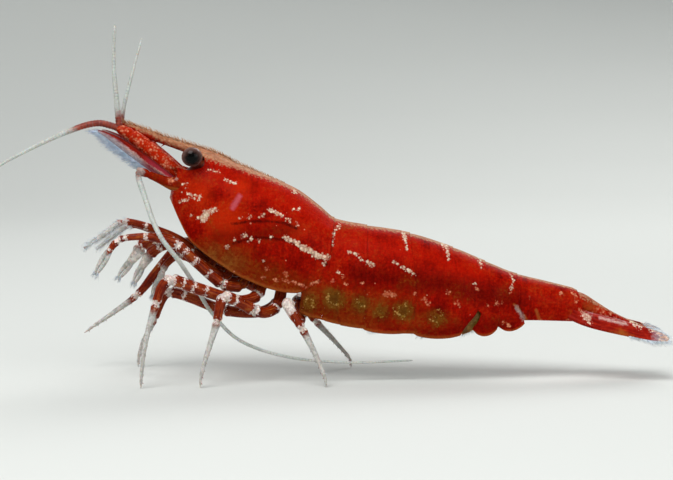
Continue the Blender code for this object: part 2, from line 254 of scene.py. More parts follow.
def hexColour(code):                         # an sRGB hex code as linear RGBA
    parts = [int(code[i:i + 2], 16) / 255 for i in (0, 2, 4)]
    return tuple(p / 12.92 if p <= 0.04045 else ((p + 0.055) / 1.055) ** 2.4 for p in parts) + (1.0,)


def addNode(tree, kind, feeds=None, **settings):
    node = tree.nodes.new("ShaderNode" + kind)
    for key, value in settings.items():
        setattr(node, key, value)
    for key, value in (feeds or {}).items():
        if isinstance(value, bpy.types.NodeSocket):
            tree.links.new(value, node.inputs[key])
        else:
            node.inputs[key].default_value = value
    return node


def reckon(tree, operation, *values):        # the result of one sum
    return addNode(tree, "Math", dict(enumerate(values)), operation=operation).outputs[0]


def average(tree, share, first, second):     # of two numbers, the second weighted by share
    return addNode(tree, "Mix", {0: share, 2: first, 3: second}).outputs[0]


def blend(tree, share, first, second):       # second colour over the first, by a share from 0 to 1
    return addNode(tree, "Mix", {0: share, 6: first, 7: second}, data_type="RGBA").outputs[2]


def spread(tree, value, low, high, bottom=0.0, top=1.0, kind="LINEAR"):      # low..high becomes bottom..top
    feeds = {"Value": value, "From Min": low, "From Max": high, "To Min": bottom, "To Max": top}
    return addNode(tree, "MapRange", feeds, interpolation_type=kind).outputs[0]


def noise(tree, place, scale, detail, roughness=0.5):
    feeds = {"Vector": place, "Scale": scale, "Detail": detail, "Roughness": roughness}
    return addNode(tree, "TexNoise", feeds).outputs[0]


def cellsOf(tree, place, scale):             # distance to the nearest cell's middle, and that cell's own number
    found = addNode(tree, "TexVoronoi", {"Vector": place, "Scale": scale}).outputs
    return found["Distance"], addNode(tree, "SeparateColor", {0: found["Color"]}).outputs[0]


def stretched(tree, place, scale):
    return addNode(tree, "Mapping", {"Vector": place, "Scale": scale}).outputs[0]


def painted(tree, field):                    # a value painted on the mesh
    return addNode(tree, "Attribute", attribute_name=field).outputs["Fac"]


def ramp(tree, value, stops):                # a colour for each value, given as (position, hex code)
    node = addNode(tree, "ValToRGB", {0: value})
    elements = node.color_ramp.elements
    while len(elements) < len(stops):
        elements.new(0.5)
    for element, (position, code) in zip(elements, stops):
        element.position = position
        element.color = hexColour(code)
    return node.outputs["Color"]


def newMaterial(name):                       # a material with its shader, and coordinates in millimetres
    material = bpy.data.materials.new(name)
    material.use_nodes = True
    tree = material.node_tree
    shader = tree.nodes["Principled BSDF"]
    place = addNode(tree, "TexCoord").outputs["Object"]
    inMm = addNode(tree, "VectorMath", {0: place, "Scale": 1000.0}, operation="SCALE").outputs[0]
    return material, tree, shader, inMm


def feedShader(tree, shader, colour, height, strength, depth, **settings):      # colour and relief
    tree.links.new(colour, shader.inputs["Base Color"])
    bump = addNode(tree, "Bump", {"Strength": strength, "Distance": depth, "Height": height}, **settings)
    tree.links.new(bump.outputs[0], shader.inputs["Normal"])


def makeWobbles(tree, broad, fine, grain):   # what the edges of marks wander by, centred on nothing
    level = {key: reckon(tree, "SUBTRACT", source, 0.5) for key, source in (("broad", broad), ("fine", fine))}
    level["both"] = average(tree, 0.4, level["broad"], level["fine"])
    level["grain"] = reckon(tree, "MULTIPLY_ADD", level["fine"], 1.3, reckon(tree, "SUBTRACT", 0.5, grain))
    return level


def addFlecks(tree, inMm, colour, share, density, widest, code):
    # stray cream cells, each a dot of its own size
    distance, own = cellsOf(tree, inMm, density)
    size = spread(tree, own, 1 - share, 1.0, 0.0, widest)
    dots = spread(tree, reckon(tree, "SUBTRACT", size, distance), 0.0, 0.04, 0.0, 0.8)
    return blend(tree, dots, colour, hexColour(code))


fieldsOf = {}                                # names of the painted fields that each material reads


def addFields(tree, name, colour, wobbles, grain, tint, fields):
    # Every field is painted on the mesh as a distance inside a mark, in mm. Its edge wanders with one of the
    # wobbles, and grainy marks break up into small clumps of pigment, each with its own tint.
    blobs = spread(tree, grain, 0.62, 0.4, kind="SMOOTHSTEP")
    masks = {}
    for field, codes, wobble, wander, soft, strength, gaps in fields:
        edge = reckon(tree, "MULTIPLY_ADD", wobbles[wobble], wander, painted(tree, field))
        mask = spread(tree, edge, -soft, soft, 0.0, strength, "SMOOTHSTEP")
        if gaps:
            mask = average(tree, gaps, mask, reckon(tree, "MULTIPLY", mask, blobs))
        shades = [hexColour(code) for code in codes.split()]
        colour = blend(tree, mask, colour, blend(tree, tint, *shades) if len(shades) == 2 else shades[0])
        masks[field] = mask
    fieldsOf[name] = [row[0] for row in fields]
    return colour, masks


# Finish values that are the same all over a material: the shader's name for each, and its usual value
finish = {"ior": ("IOR", 1.4), "specular": ("Specular IOR Level", 0.3), "coat": ("Coat Weight", 0.0),
          "coatRoughness": ("Coat Roughness", 0.2), "coatIor": ("Coat IOR", 1.2),
          "subsurface": ("Subsurface Weight", 0.0), "bleed": ("Subsurface Radius", (1.0, 0.3, 0.15)),
          "depth": ("Subsurface Scale", 0.0003)}


def setShader(shader, look):
    for key, (socket, usual) in finish.items():
        shader.inputs[socket].default_value = look.get(key, usual)


# Living chitin: thin horn over pigment cells and muscle. Deep translucent colour, a satin gloss, no hard shine
shellLook = {
    "reds": [(0.3, "540300"), (0.42, "7e0700"), (0.52, "a00d01"), (0.62, "b41802"), (0.76, "c8320c")],
    "cellSize": 0.12, "cellShade": 0.3, "cellEdge": "2e0201", "grain": 0.125,
    "flecks": (0.3, 2.3, 0.15, "bf7f64"),
    # scale, detail and roughness of each mottling, and how much of the tone fibres and fine mottling have
    "broad": (0.75, 5.0, 0.62), "fine": (7.0, 3.0, 0.6), "fineShare": 0.25,
    "stretch": (7.0, 1.0, 1.0), "fibreShare": 0.28,
    # field, its colour or two, its wobble, how far the edge wanders and how soft it is in mm, strength, gaps
    "fields": [
        ("scarlet", "b81603", "broad", 1.4, 0.5, 0.38, 0), ("glow", "c02c08", "broad", 1.2, 0.5, 0.52, 0),
        ("olive", "5a1e04 6c3c0c", "broad", 3.2, 0.8, 0.58, 0),
        ("clear", "6e3e14 8a5c24", "both", 2.2, 0.5, 0.5, 0), ("shade", "400200", "broad", 1.8, 0.6, 0.66, 0),
        ("dusk", "2a0201", "fine", 0.3, 0.07, 0.8, 0), ("halo", "4a0a03", "fine", 0.8, 0.16, 0.6, 0),
        ("blotch", "6a460c 82601c", "both", 2.2, 0.26, 0.55, 0), ("core", "38200a", "both", 2.2, 0.18, 0.5, 0),
        ("yolk", "84621c c0985a", "grain", 0.4, 0.08, 0.75, 0.5), ("rim", "a4602a", "fine", 0.05, 0.06, 0.5, 0),
        # the pale grey streaks of the second field on the next line are partly the skin's own haze and partly a
        # painted sheen
        ("pink", "b4505a", "fine", 0.15, 0.09, 0.75, 0), ("haze", "8f8a84 b9b5ae", "fine", 0.3, 0.09, 0.6, 0),
        ("stripe", "8c6044 ae8060", "grain", 0.34, 0.15, 0.92, 0.15),
        ("speck", "a44e30 d48c6a", "grain", 0.16, 0.06, 0.92, 0.3),
        ("pale", "b08c74 dec6ae", "grain", 0.16, 0.05, 1.0, 0.4)],
    "roughness": (0.36, 0.52), "coat": 0.045, "ior": 1.2, "specular": 0.07, "subsurface": 0.35,
}


def shellMaterial(name, look):
    material, tree, shader, inMm = newMaterial(name)
    broad, fine = noise(tree, inMm, *look["broad"]), noise(tree, inMm, *look["fine"])
    fibres = noise(tree, stretched(tree, inMm, look["stretch"]), 1.0, 3.0)
    cell = cellsOf(tree, inMm, 1 / look["cellSize"])[0]
    grain, tint = cellsOf(tree, inMm, 1 / look["grain"])
    tone = average(tree, look["fineShare"], average(tree, look["fibreShare"], broad, fibres), fine)
    # each pigment cell is a little darker at its edge than in its middle
    cellEdge = spread(tree, cell, 0.2, 0.75, 0.0, look["cellShade"])
    colour = blend(tree, cellEdge, ramp(tree, tone, look["reds"]), hexColour(look["cellEdge"]))
    wobbles = makeWobbles(tree, broad, fine, grain)
    colour, masks = addFields(tree, name, colour, wobbles, grain, tint, look["fields"])
    colour = addFlecks(tree, inMm, colour, *look["flecks"])
    tree.links.new(spread(tree, fine, 0.3, 0.7, *look["roughness"]), shader.inputs["Roughness"])
    relief = reckon(tree, "MULTIPLY_ADD", fine, 0.6, masks["pale"])
    feedShader(tree, shader, colour, reckon(tree, "MULTIPLY_ADD", cell, -0.5, relief), 0.5, 0.00003)
    setShader(shader, look)
    return material


# What the other skins share: detail and roughness of the broad mottling, scale and detail of the fine one
limbSkin = {"broad": (4.0, 0.65), "fine": (9.0, 2.0), "fineShare": 0.3, "grain": 9.0,
            "stretch": (4.5, 1.1, 1.0),
            "satin": 0.07}


def limbMaterial(name, look):
    material, tree, shader, inMm = newMaterial(name)
    broad, fine = noise(tree, inMm, look["mottle"], *limbSkin["broad"]), noise(tree, inMm, *limbSkin["fine"])
    grain, tint = cellsOf(tree, inMm, limbSkin["grain"])
    tone = average(tree, limbSkin["fineShare"], broad, fine)
    if look.get("streak"):                   # muscle showing lengthwise through the skin
        lie = addNode(tree, "CombineXYZ", {0: painted(tree, "turn"), 1: painted(tree, "run")}).outputs[0]
        muscle = noise(tree, stretched(tree, lie, limbSkin["stretch"]), 1.0, 3.0)
        tone = average(tree, look["streak"], tone, muscle)
    colour = ramp(tree, tone, look["tones"])
    wobbles = makeWobbles(tree, broad, fine, grain)
    colour, masks = addFields(tree, name, colour, wobbles, grain, tint, look["fields"])
    if look.get("flecks"):
        colour = addFlecks(tree, inMm, colour, *look["flecks"])
    roughness = look["roughness"] - limbSkin["satin"], look["roughness"] + limbSkin["satin"]
    tree.links.new(spread(tree, fine, 0.3, 0.7, *roughness), shader.inputs["Roughness"])
    feedShader(tree, shader, colour, reckon(tree, "MULTIPLY_ADD", grain, -0.5, fine), 0.4, 0.00003)
    # light passes through, and only where the clear field says so if the material has one
    glassy = look.get("glassy", 0.0)
    if glassy and "clear" in masks:
        through = reckon(tree, "MULTIPLY", masks["clear"], glassy)
        tree.links.new(through, shader.inputs["Transmission Weight"])
    else:
        shader.inputs["Transmission Weight"].default_value = glassy
    setShader(shader, look)
    return material


# Leg cuticle: thin and banded, brown-red with cream clumps at the joints, going clear towards the tips
limbLook = {"mottle": 1.7, "tones": [(0.32, "3c0802"), (0.43, "621504"), (0.53, "822a0a"), (0.66, "9e5820")],
            "fields": [("clear", "a9aca6 d0d2ce", "fine", 0.6, 0.35, 0.88, 0),
                       ("pale", "b3a49c e6dcd4", "grain", 0.22, 0.05, 0.97, 0.15)],
            "streak": 0.5, "flecks": (0.35, 3.6, 0.2, "dcc8b8"), "roughness": 0.34, "ior": 1.25,
            "specular": 0.3, "coat": 0.06, "subsurface": 0.35, "glassy": 0.12}
# Feeler cuticle: clear rings like beads, red near the base
feelerLook = {"mottle": 3.0, "tones": [(0.3, "9ba29d"), (0.6, "c9cec9")],
              "fields": [("red", "6e1406 9a3412", "broad", 1.0, 0.25, 0.97, 0),
                         ("ring", "6b6e66", "fine", 0.02, 0.02, 0.35, 0)],
              "streak": 0.3, "flecks": (0.5, 4.5, 0.22, "e6c8b0"), "roughness": 0.36, "subsurface": 0.3,
              "glassy": 0.15}
# Blade cuticle: sheets thin enough to let light through, on a firmer dark edge
bladeLook = {"mottle": 2.0, "tones": [(0.3, "560603"), (0.45, "7e0d04"), (0.58, "9c1c09"), (0.72, "b44218")],
             "fields": [("clear", "87838c aeabb4", "fine", 0.5, 0.25, 0.85, 0),
                        ("orange", "96501a", "broad", 0.8, 0.2, 0.8, 0),
                        ("pink", "9c2c3c", "fine", 0.2, 0.2, 0.8, 0),
                        # the pale band of the next field is partly the blade's own colour and partly a painted
                        # highlight
                        ("haze", "b08884 d4b2a8", "fine", 0.2, 0.06, 0.75, 0),
                        ("pale", "b48f7c e2c8b4", "grain", 0.26, 0.05, 0.95, 0.4),
                        ("rim", "3c100a", "fine", 0.05, 0.04, 0.75, 0)],
             "streak": 0.45, "flecks": (0.3, 3.0, 0.2, "c8907a"), "roughness": 0.38, "ior": 1.25,
             "specular": 0.15, "coat": 0.05, "subsurface": 0.25}
# Bristles: fine clear horn, white where many lie together, and cream like the skin along the ridge of the head
bristleLooks = {key: {"mottle": 3.0, "tones": [(0.3, dark), (0.6, light)], "fields": [], "roughness": 0.45,
                      "subsurface": 0.2}
                for key, dark, light in (("fringe", "8e9db6", "cad4e4"), ("hair", "b3bac2", "e4e8ec"),
                                         ("fuzz", "946444", "c08e6c"))}
# Swimming leg cuticle: clear leaves tinged yellow
swimmerLook = {"mottle": 3.5, "tones": [(0.34, "56360a"), (0.5, "735014"), (0.66, "96702c")], "fields": [],
               "flecks": (0.5, 3.2, 0.3, "c8b070"), "roughness": 0.4, "subsurface": 0.3, "glassy": 0.12}
# Flesh under the shell: brown-red muscle, damp
fleshLook = {"mottle": 1.3, "tones": [(0.3, "360803"), (0.5, "5e1407"), (0.7, "7c2c12")],
             "fields": [("olive", "5a3c12", "broad", 1.0, 0.3, 0.7, 0)], "roughness": 0.42, "coat": 0.1,
             "subsurface": 0.3}

materials = {"shell": shellMaterial("living_chitin", shellLook)}
for key, name, look in (("limb", "leg_cuticle", limbLook), ("feeler", "feeler_cuticle", feelerLook),
                        ("blade", "blade_cuticle", bladeLook),
                        ("fringe", "bristle_horn", bristleLooks["fringe"]),
                        ("hair", "fine_white_hair", bristleLooks["hair"]),
                        ("fuzz", "cream_ridge_hair", bristleLooks["fuzz"]),
                        ("swimmer", "swimming_leg_cuticle", swimmerLook),
                        ("flesh", "muscle_under_shell", fleshLook)):
    materials[key] = limbMaterial(name, look)
print("materials ready")


# ---- trunk: the smooth surface that the carapace and the rings of the abdomen lie on

trunk = {
    "back": [(2.6, 12.13), (3.4, 11.83), (4.2, 11.5), (4.9, 11.28), (6.15, 10.75), (8.15, 9.93), (9.15, 9.44),
             (10.15, 8.68), (10.93, 8.05), (12.4, 7.7), (14.54, 7.32), (16.7, 6.62), (18.32, 5.93),
             (19.94, 5.26), (22.92, 4.54)],
    "hem": [(2.68, 9.3), (3.06, 8.3), (3.68, 7.1), (4.3, 6.5), (5.0, 6.0), (6.0, 5.35), (7.3, 4.75), (9.2, 3.6),
            (10.93, 3.13), (12.4, 2.78), (14.54, 2.68), (16.7, 2.68), (18.32, 2.82), (19.94, 3.06),
            (22.92, 2.98)],
    "girth": [(2.68, 1.15), (3.4, 1.45), (4.2, 1.7), (5.0, 1.87), (6.5, 2.05), (8.0, 2.15), (9.6, 2.15),
              (10.93, 2.02), (12.4, 2.05), (14.54, 1.95), (16.7, 1.72), (18.32, 1.46), (19.94, 1.27),
              (22.92, 0.82)],
    "lean": [(2.6, 0.0), (8.0, 0.0), (10.93, -0.6), (12.4, -0.1), (14.54, 0.3), (16.7, 0.55), (18.32, 0.65),
             (19.94, 0.5), (22.92, 0.1)],
    "widest": 0.42, "margin": math.radians(120),
}


def trunkSpots(x, angle, grow=0.0, drop=0.0):
    # places on the trunk at X and an angle from straight up, grown outward and with its hem dropped
    top = onCurve(trunk["back"], x) + grow
    bottom = onCurve(trunk["hem"], x) - drop
    half = onCurve(trunk["girth"], x) + grow
    middle = bottom + trunk["widest"] * (top - bottom)
    rise = np.where(np.abs(angle) > math.pi / 2, (middle - bottom) / -math.cos(trunk["margin"]), top - middle)
    z = middle + rise * np.cos(angle)
    lean = onCurve(trunk["lean"], x) * (top - z) / (top - bottom)
    return np.stack([x + lean, half * np.sin(angle), z], axis=1)


# Cream marks on the flanks: half width of each stroke and the X and Z that it passes through
paleStrokes = [
    (0.1, [(4.15, 8.2), (4.4, 8.1)]), (0.19, [(4.4, 8.15), (4.6, 8.45)]), (0.1, [(4.6, 8.5), (5.05, 8.6)]),
    (0.05, [(4.65, 10.5), (5.15, 10.45)]), (0.05, [(5.5, 10.05), (6.05, 9.85)]),
    (0.05, [(3.65, 9.35), (4.3, 9.25)]), (0.06, [(3.25, 8.95), (3.7, 9.1)]),
    (0.09, [(7.7, 8.6), (7.95, 8.45), (8.3, 8.3)]), (0.11, [(8.45, 7.25), (9.0, 7.0), (9.3, 6.75)]),
    (0.15, [(9.3, 6.75), (9.7, 6.6), (10.0, 6.35)]), (0.13, [(10.0, 6.35), (10.55, 6.25)]),
    (0.06, [(8.3, 5.15), (9.05, 5.0), (9.5, 4.8)]), (0.07, [(9.75, 4.95), (10.1, 5.1)]),
    (0.03, [(11.05, 7.75), (10.85, 7.4), (10.8, 6.8)]), (0.07, [(11.6, 6.5), (11.95, 6.4)]),
    (0.05, [(12.1, 6.2), (12.3, 6.05)]), (0.09, [(12.5, 6.0), (12.75, 5.9)]),
    (0.05, [(13.8, 6.0), (14.0, 5.9)]), (0.07, [(14.2, 5.8), (14.8, 5.4)]), (0.09, [(14.3, 7.5), (14.4, 7.05)]),
    (0.05, [(14.42, 7.0), (14.45, 6.6)]), (0.1, [(16.25, 6.9), (16.5, 6.6)]),
    (0.06, [(16.5, 6.6), (16.55, 6.1)]), (0.06, [(18.1, 6.2), (18.2, 5.7)]),
    (0.04, [(19.6, 5.6), (19.8, 5.0), (19.6, 4.4)]), (0.03, [(3.3, 9.8), (3.65, 9.9)]),
    (0.03, [(3.35, 9.45), (3.55, 9.65)]), (0.04, [(3.9, 9.15), (4.2, 9.1)]),
    (0.12, [(13.35, 4.45), (13.8, 4.4)]), (0.08, [(22.75, 4.35), (22.95, 4.2)]),
]
# Marks below this line are small and rosy instead of cream
rosyLine = [(2.7, 0.0), (5.5, 5.2), (7.0, 5.9), (10.0, 5.6), (12.0, 5.3), (16.0, 5.2), (19.5, 4.5), (22.0, 5.0)]
# Single cream dots: X, Z and radius
paleDots = [
    (6.25, 8.2, .07), (6.7, 8.25, .08), (7.2, 8.2, .06), (7.4, 8.35, .09), (8.5, 8.15, .08), (8.7, 8.05, .07),
    (9.05, 7.9, .08), (5.95, 7.1, .08), (6.35, 7.25, .09), (6.5, 7.35, .1), (6.8, 7.2, .09), (6.7, 7.0, .07),
    (7.2, 7.1, .09), (7.75, 7.25, .09), (10.35, 5.95, .1), (7.4, 6.1, .06), (7.55, 5.7, .09), (7.35, 5.25, .08),
    (8.5, 5.45, .11), (8.0, 5.15, .1), (10.8, 5.1, .08), (11.05, 5.5, .09), (11.3, 5.3, .09),
    (11.45, 4.95, .09), (3.8, 8.25, .07), (5.6, 6.75, .1), (8.9, 9.4, .1), (9.1, 8.6, .09), (8.85, 8.6, .07),
    (11.1, 7.7, .09), (12.25, 5.0, .07), (12.5, 4.45, .08), (14.85, 4.45, .08), (15.3, 4.15, .1),
    (15.5, 3.95, .09), (16.5, 4.5, .09), (16.9, 4.0, .1), (17.1, 3.8, .07), (17.8, 4.9, .07),
    (17.95, 4.65, .09), (18.5, 3.85, .06), (18.9, 3.9, .1), (19.15, 3.95, .06), (19.3, 2.9, .1),
    (19.55, 2.8, .1), (20.2, 2.65, .06), (20.6, 4.15, .05), (22.2, 4.35, .08), (22.95, 3.95, .08),
    (22.95, 3.3, .06), (23.15, 3.5, .08), (22.85, 3.0, .08), (22.55, 3.0, .06), (21.2, 3.0, .06),
]
# Dark lines, dusky and brighter zones, and the other marks of the flanks, written in the same two ways
darkStrokes = [
    (0.05, [(5.87, 7.89), (6.68, 8.04), (7.53, 8.06), (8.36, 7.95), (9.05, 7.67)]),
    (0.06, [(5.9, 6.95), (6.97, 7.25), (7.79, 7.22), (8.64, 7.1), (9.75, 6.5), (10.5, 5.9)]),
]
shadeStrokes = [(0.35, [(13.6, 2.4), (15.4, 2.3), (17.4, 2.7), (19.6, 2.8)]),
                (0.5, [(12.0, 5.4), (14.5, 5.1), (16.5, 4.8), (18.2, 4.4), (19.8, 4.1)]),
                (0.25, [(5.2, 7.3), (8.8, 7.6)])]
scarletStrokes = [(0.55, [(5.2, 10.4), (7.0, 9.6), (9.0, 8.9), (10.4, 7.9)]),
                  (0.45, [(11.2, 7.0), (13.5, 6.8), (16.0, 6.1), (18.0, 5.4)])]
pinkStrokes = [(0.12, [(6.2, 9.25), (5.88, 8.7)])]
# A painted sheen: a whitish streak along the rear edge of the fifth ring
sheenStrokes = [(0.07, [(19.9, 3.72), (20.12, 3.42), (20.3, 3.1)])]
ochreStrokes = [(0.05, [(19.8, 3.85), (20.1, 3.6)]), (0.06, [(20.3, 3.3), (20.55, 2.9)]),
                (0.07, [(20.92, 3.55), (21.1, 3.05)])]
clearDots = [(4.9, 6.4, .4), (5.7, 6.0, .5), (9.5, 3.9, .5)]
glowDots = [(5.5, 8.0, .9), (4.2, 9.4, .6), (6.3, 9.7, .5), (9.0, 7.6, .4), (14.6, 3.0, .3)]
# Yellow blotches low on the flanks: each has a dark core, a broken yellow ring and a dark surround
blotches = [(9.6, 3.95, .4), (10.85, 4.15, .48), (12.15, 3.95, .36), (13.2, 3.5, .3), (14.25, 3.6, .44),
            (15.95, 3.3, .38)]
blotchParts = {"core": 0.22, "yolk": 0.16, "yolkHalf": 0.05, "halo": 0.12}
# Half angle in degrees of the cream line along the back, and the heights between which the flanks turn olive
stripeAngle = [(2.6, 44), (3.4, 36), (4.2, 30), (5.2, 27), (6.2, 22), (8.0, 17), (10.9, 15), (12.4, 15),
               (16, 15), (20, 17), (23, 22)]
oliveLine = [(2.7, 6.9), (4.6, 7.0), (6.0, 6.8), (8.0, 6.0), (9.4, 5.3), (10.6, 4.9), (12.4, 4.6), (14.0, 4.2),
             (15.3, 3.8), (16.5, 3.4), (18.0, 2.1), (20.0, 1.8), (23.0, 1.6)]
oliveFloor = [(2.7, 0.0), (11.6, 0.5), (13.0, 2.7), (16.5, 3.0), (18.0, 3.4)]


farOutside = -0.4                            # what a field says well away from its marks


def insideStrokes(spots, strokes):           # how far each spot lies inside the nearest stroke, in mm
    best = np.full(len(spots), farOutside)
    for half, points in strokes:
        points = np.array(points)
        for a, b in zip(points, points[1:]):
            t = np.clip(((spots - a) @ (b - a)) / np.dot(b - a, b - a), 0, 1)
            gap = np.linalg.norm(spots - a - t[:, None] * (b - a), axis=1)
            best = np.maximum(best, half - gap)
    return best


def insideDots(spots, dots):                 # and inside the nearest dot
    best = np.full(len(spots), farOutside)
    for x, z, radius in dots:
        best = np.maximum(best, radius - np.hypot(spots[:, 0] - x, spots[:, 1] - z))
    return best


farSideShift = np.array([0.12, -0.1])        # the marks of the right side lie a little apart from the left's


def paintShell(spots, run, turn):            # marks and colour zones of the carapace and the rings
    x, y, z = spots.T
    flank = spots[:, [0, 2]] + np.where(y > 0, 1.0, 0.0)[:, None] * farSideShift
    back = onCurve(trunk["back"], x)
    up = np.maximum((z - back) / (0.58 * (back - onCurve(trunk["hem"], x))) + 1, -1)
    angle = np.degrees(np.arctan2(np.abs(y) / onCurve(trunk["girth"], x), up))      # from straight up
    marks = np.maximum(insideStrokes(flank, paleStrokes), insideDots(flank, paleDots)) - 0.012
    rosy = z < onCurve(rosyLine, x)
    inBlotch, parts = insideDots(flank, blotches), blotchParts
    broken = 0.09 * (1 + np.sin(5.3 * x + 7.1 * z))
    return {
        "pale": np.where(rosy, -1, marks),
        "speck": np.where(rosy, marks, -1),
        "stripe": (onCurve(stripeAngle, x) - angle) * 0.035,
        "dusk": insideStrokes(flank, darkStrokes),
        "scarlet": insideStrokes(flank, scarletStrokes),
        "shade": insideStrokes(flank, shadeStrokes),
        "haze": insideStrokes(flank, sheenStrokes),
        "blotch": inBlotch,
        "core": inBlotch - parts["core"],
        "yolk": parts["yolkHalf"] - np.abs(inBlotch - parts["yolk"]) - broken,
        "halo": inBlotch + parts["halo"],
        "pink": insideStrokes(flank, pinkStrokes),
        "olive": np.minimum(onCurve(oliveLine, x) - z, z - onCurve(oliveFloor, x)),
        "clear": insideDots(flank, clearDots),
        "glow": insideDots(flank, glowDots),
        "rim": np.maximum(0.06 - np.minimum(turn, 1 - turn) * 8, insideStrokes(flank, ochreStrokes)),
    }


def paintCarapace(spots, run, turn):
    fields = paintShell(spots, run, turn)
    # a pale line along the lower part of the front edge, partly the edge's own paleness and partly a painted
    # sheen
    low = np.abs(2 * turn - 1) > 0.66
    fields["haze"] = np.where(low, 0.03 - run * 7, -1)
    fields["rim"] = fields["rim"] - 0.4 * ease(9.0, 10.0, spots[:, 0])
    return fields


# ---- carapace

carapace = {
    # front edge: share of the way from the back to the lower edge, and X there
    "front": [(0, 3.3), (0.08, 3.4), (0.12, 3.9), (0.18, 4.34), (0.28, 4.46), (0.36, 4.36), (0.42, 4.05),
              (0.5, 3.5), (0.555, 3.12), (0.6, 3.16), (0.7, 3.02), (0.8, 2.86), (1.0, 2.72)],
    # lower edge in side view
    "hem": trunk["hem"][:6] + [(7.3, 4.79), (8.0, 4.6), (8.7, 4.5), (9.4, 4.52), (10.0, 4.74), (10.5, 5.2),
                               (11.0, 6.0)],
    "rear": 10.88, "corner": 0.35, "steps": (140, 190), "wall": 0.09,
    "lip": 0.035, "lipEnds": (0.018, 0.982, 0.985),       # a thicker edge, at the front, the rear and the hem
    # how far the crown sinks into the rostrum, and how far the gill chamber swells, from X to X
    "crown": (0.1, 0.22), "sink": 0.07, "gill": 0.07, "gillFrom": (5.0, 6.2),
}


def carapaceShape(u, v):
    part = carapace
    side = 2 * v - 1
    share = np.abs(side)
    front = onCurve(part["front"], share)
    rear = part["rear"] - part["corner"] * ease(0.8, 1.0, share)
    x = front + (rear - front) * u
    top, bottom = onCurve(trunk["back"], x), onCurve(trunk["hem"], x)
    middle = bottom + trunk["widest"] * (top - bottom)
    reach = np.arccos(np.clip((onCurve(part["hem"], x) - middle) / (2 * (middle - bottom)), -0.5, 0.5))
    crown = 1 - ease(*part["crown"], share)
    atFront, atRear, atHem = part["lipEnds"]
    edge = (1 - ease(0.0, atFront, u)) * (1 - crown) + ease(atRear, 1.0, u) + ease(atHem, 1.0, share)
    lip = part["lip"] * edge
    lip = lip - part["sink"] * crown * (1 - ease(0.0, 0.06, u))
    gill = part["gill"] * ease(*part["gillFrom"], x) * (1 - ease(0.72, 0.95, share)) * ease(0.3, 0.5, share)
    return trunkSpots(x, np.sign(side) * share * reach, lip + gill)


finishPiece("carapace", shellSheet(carapace["steps"], carapaceShape, carapace["wall"]), "shell",
            ["carapace"], paintCarapace)
print("carapace built")


# ---- abdomen: six rings, each lapping over the next

abdomen = {
    "joints": [10.96, 12.4, 14.54, 16.7, 18.32, 19.94, 22.92],
    "lobes": [0.06, 0.28, 0.5, 0.5, 0.46],   # depth of each ring's side lobe
    "lobeEnds": [0.3, 0.3, 0.5, 0.0, 0.0],   # share of that depth left at the lobe's ends
    "arch": 0.04, "sink": 0.03, "rise": 0.05, "lap": 0.08, "wall": 0.05, "spacing": 0.06,
    "hemLip": 0.015, "rearLip": 0.012, "overlaps": [1.5, 0.4, 0.4, 0.4, 0.4], "around": 170, "fewer": 12,
    # front and rear edge of each ring as offsets from its joints, by share of the way down from the back
    "edges": [
        ([(0, -0.2), (0.4, -0.3), (0.6, -0.9), (0.85, -1.4), (1, -1.5)], [(0, 0.12), (0.4, 0.1), (1, 0.1)]),
        ([(0, -0.15), (0.35, -0.1), (0.5, -0.25), (0.7, -0.75), (0.88, -1.0), (1, -0.8)],
         [(0, 0.12), (0.3, 0.1), (0.6, 0.2), (0.8, 0.15), (0.92, -0.05), (1, -0.4)]),
        ([(0, -0.15), (0.6, -0.2), (1, -0.6)],
         [(0, 0.12), (0.3, 0.08), (0.55, 0.12), (0.68, 0.4), (0.76, 0.74), (0.81, 0.84), (0.86, 0.7),
          (0.92, 0.34), (1, -0.1)]),
        ([(0, -0.15), (0.72, -0.1), (0.78, 0.3), (0.84, 0.92), (0.9, 0.85), (0.95, 0.6), (0.98, 0.46),
          (1, 0.52)],
         [(0, 0.12), (0.3, 0.08), (0.6, 0.1), (0.75, 0.25), (0.86, 0.26), (0.94, 0.12), (1, 0.0)]),
        ([(0, -0.15), (0.7, -0.15), (0.88, 0.02), (0.96, 0.0), (1, 0.18)],
         [(0, 0.12), (0.4, 0.08), (0.65, -0.1), (0.8, -0.25), (0.9, -0.12), (1, -0.1)]),
    ],
}


def ringShape(number):
    part = abdomen
    start, end = part["joints"][number - 1], part["joints"][number]
    frontEdge, rearEdge = part["edges"][number - 1]

    def shape(u, v):
        side = 2 * v - 1
        share = np.abs(side)
        front = start + onCurve(frontEdge, share)
        rear = end + onCurve(rearEdge, share)
        x = front + (rear - front) * u
        arch = np.sin(math.pi * np.clip((x - start) / (end - start), 0, 1))
        above = 1 - ease(0.3, 0.8, share)
        grow = part["arch"] * arch * above - part["sink"] * (1 - ease(0.0, 0.15, u))
        grow = grow + part["rise"] * ease(0.55, 1.0, u)
        if number == 2:                      # the second ring laps over the first as well
            grow = grow + part["lap"] * ease(0.4, 0.6, share) * (1 - ease(0.1, 0.5, u))
        lip = part["hemLip"] * ease(0.975, 1.0, share) + part["rearLip"] * ease(0.97, 1.0, u)
        least = part["lobeEnds"][number - 1]
        bulge = arch if number < 4 else np.sin(math.pi * (0.05 + 0.9 * u))       # the last lobes are rounded
        drop = part["lobes"][number - 1] * (least + (1 - least) * np.sqrt(bulge))
        return trunkSpots(x, side * trunk["margin"], grow + lip, drop)
    return shape


for number in range(1, 6):
    span = abdomen["joints"][number] - abdomen["joints"][number - 1] + abdomen["overlaps"][number - 1]
    steps = (round(span / abdomen["spacing"]), abdomen["around"] - abdomen["fewer"] * number)
    finishPiece("abdomen_ring_%d" % number, shellSheet(steps, ringShape(number), abdomen["wall"]), "shell",
                ["abdomen_segment_%d" % number], paintShell)

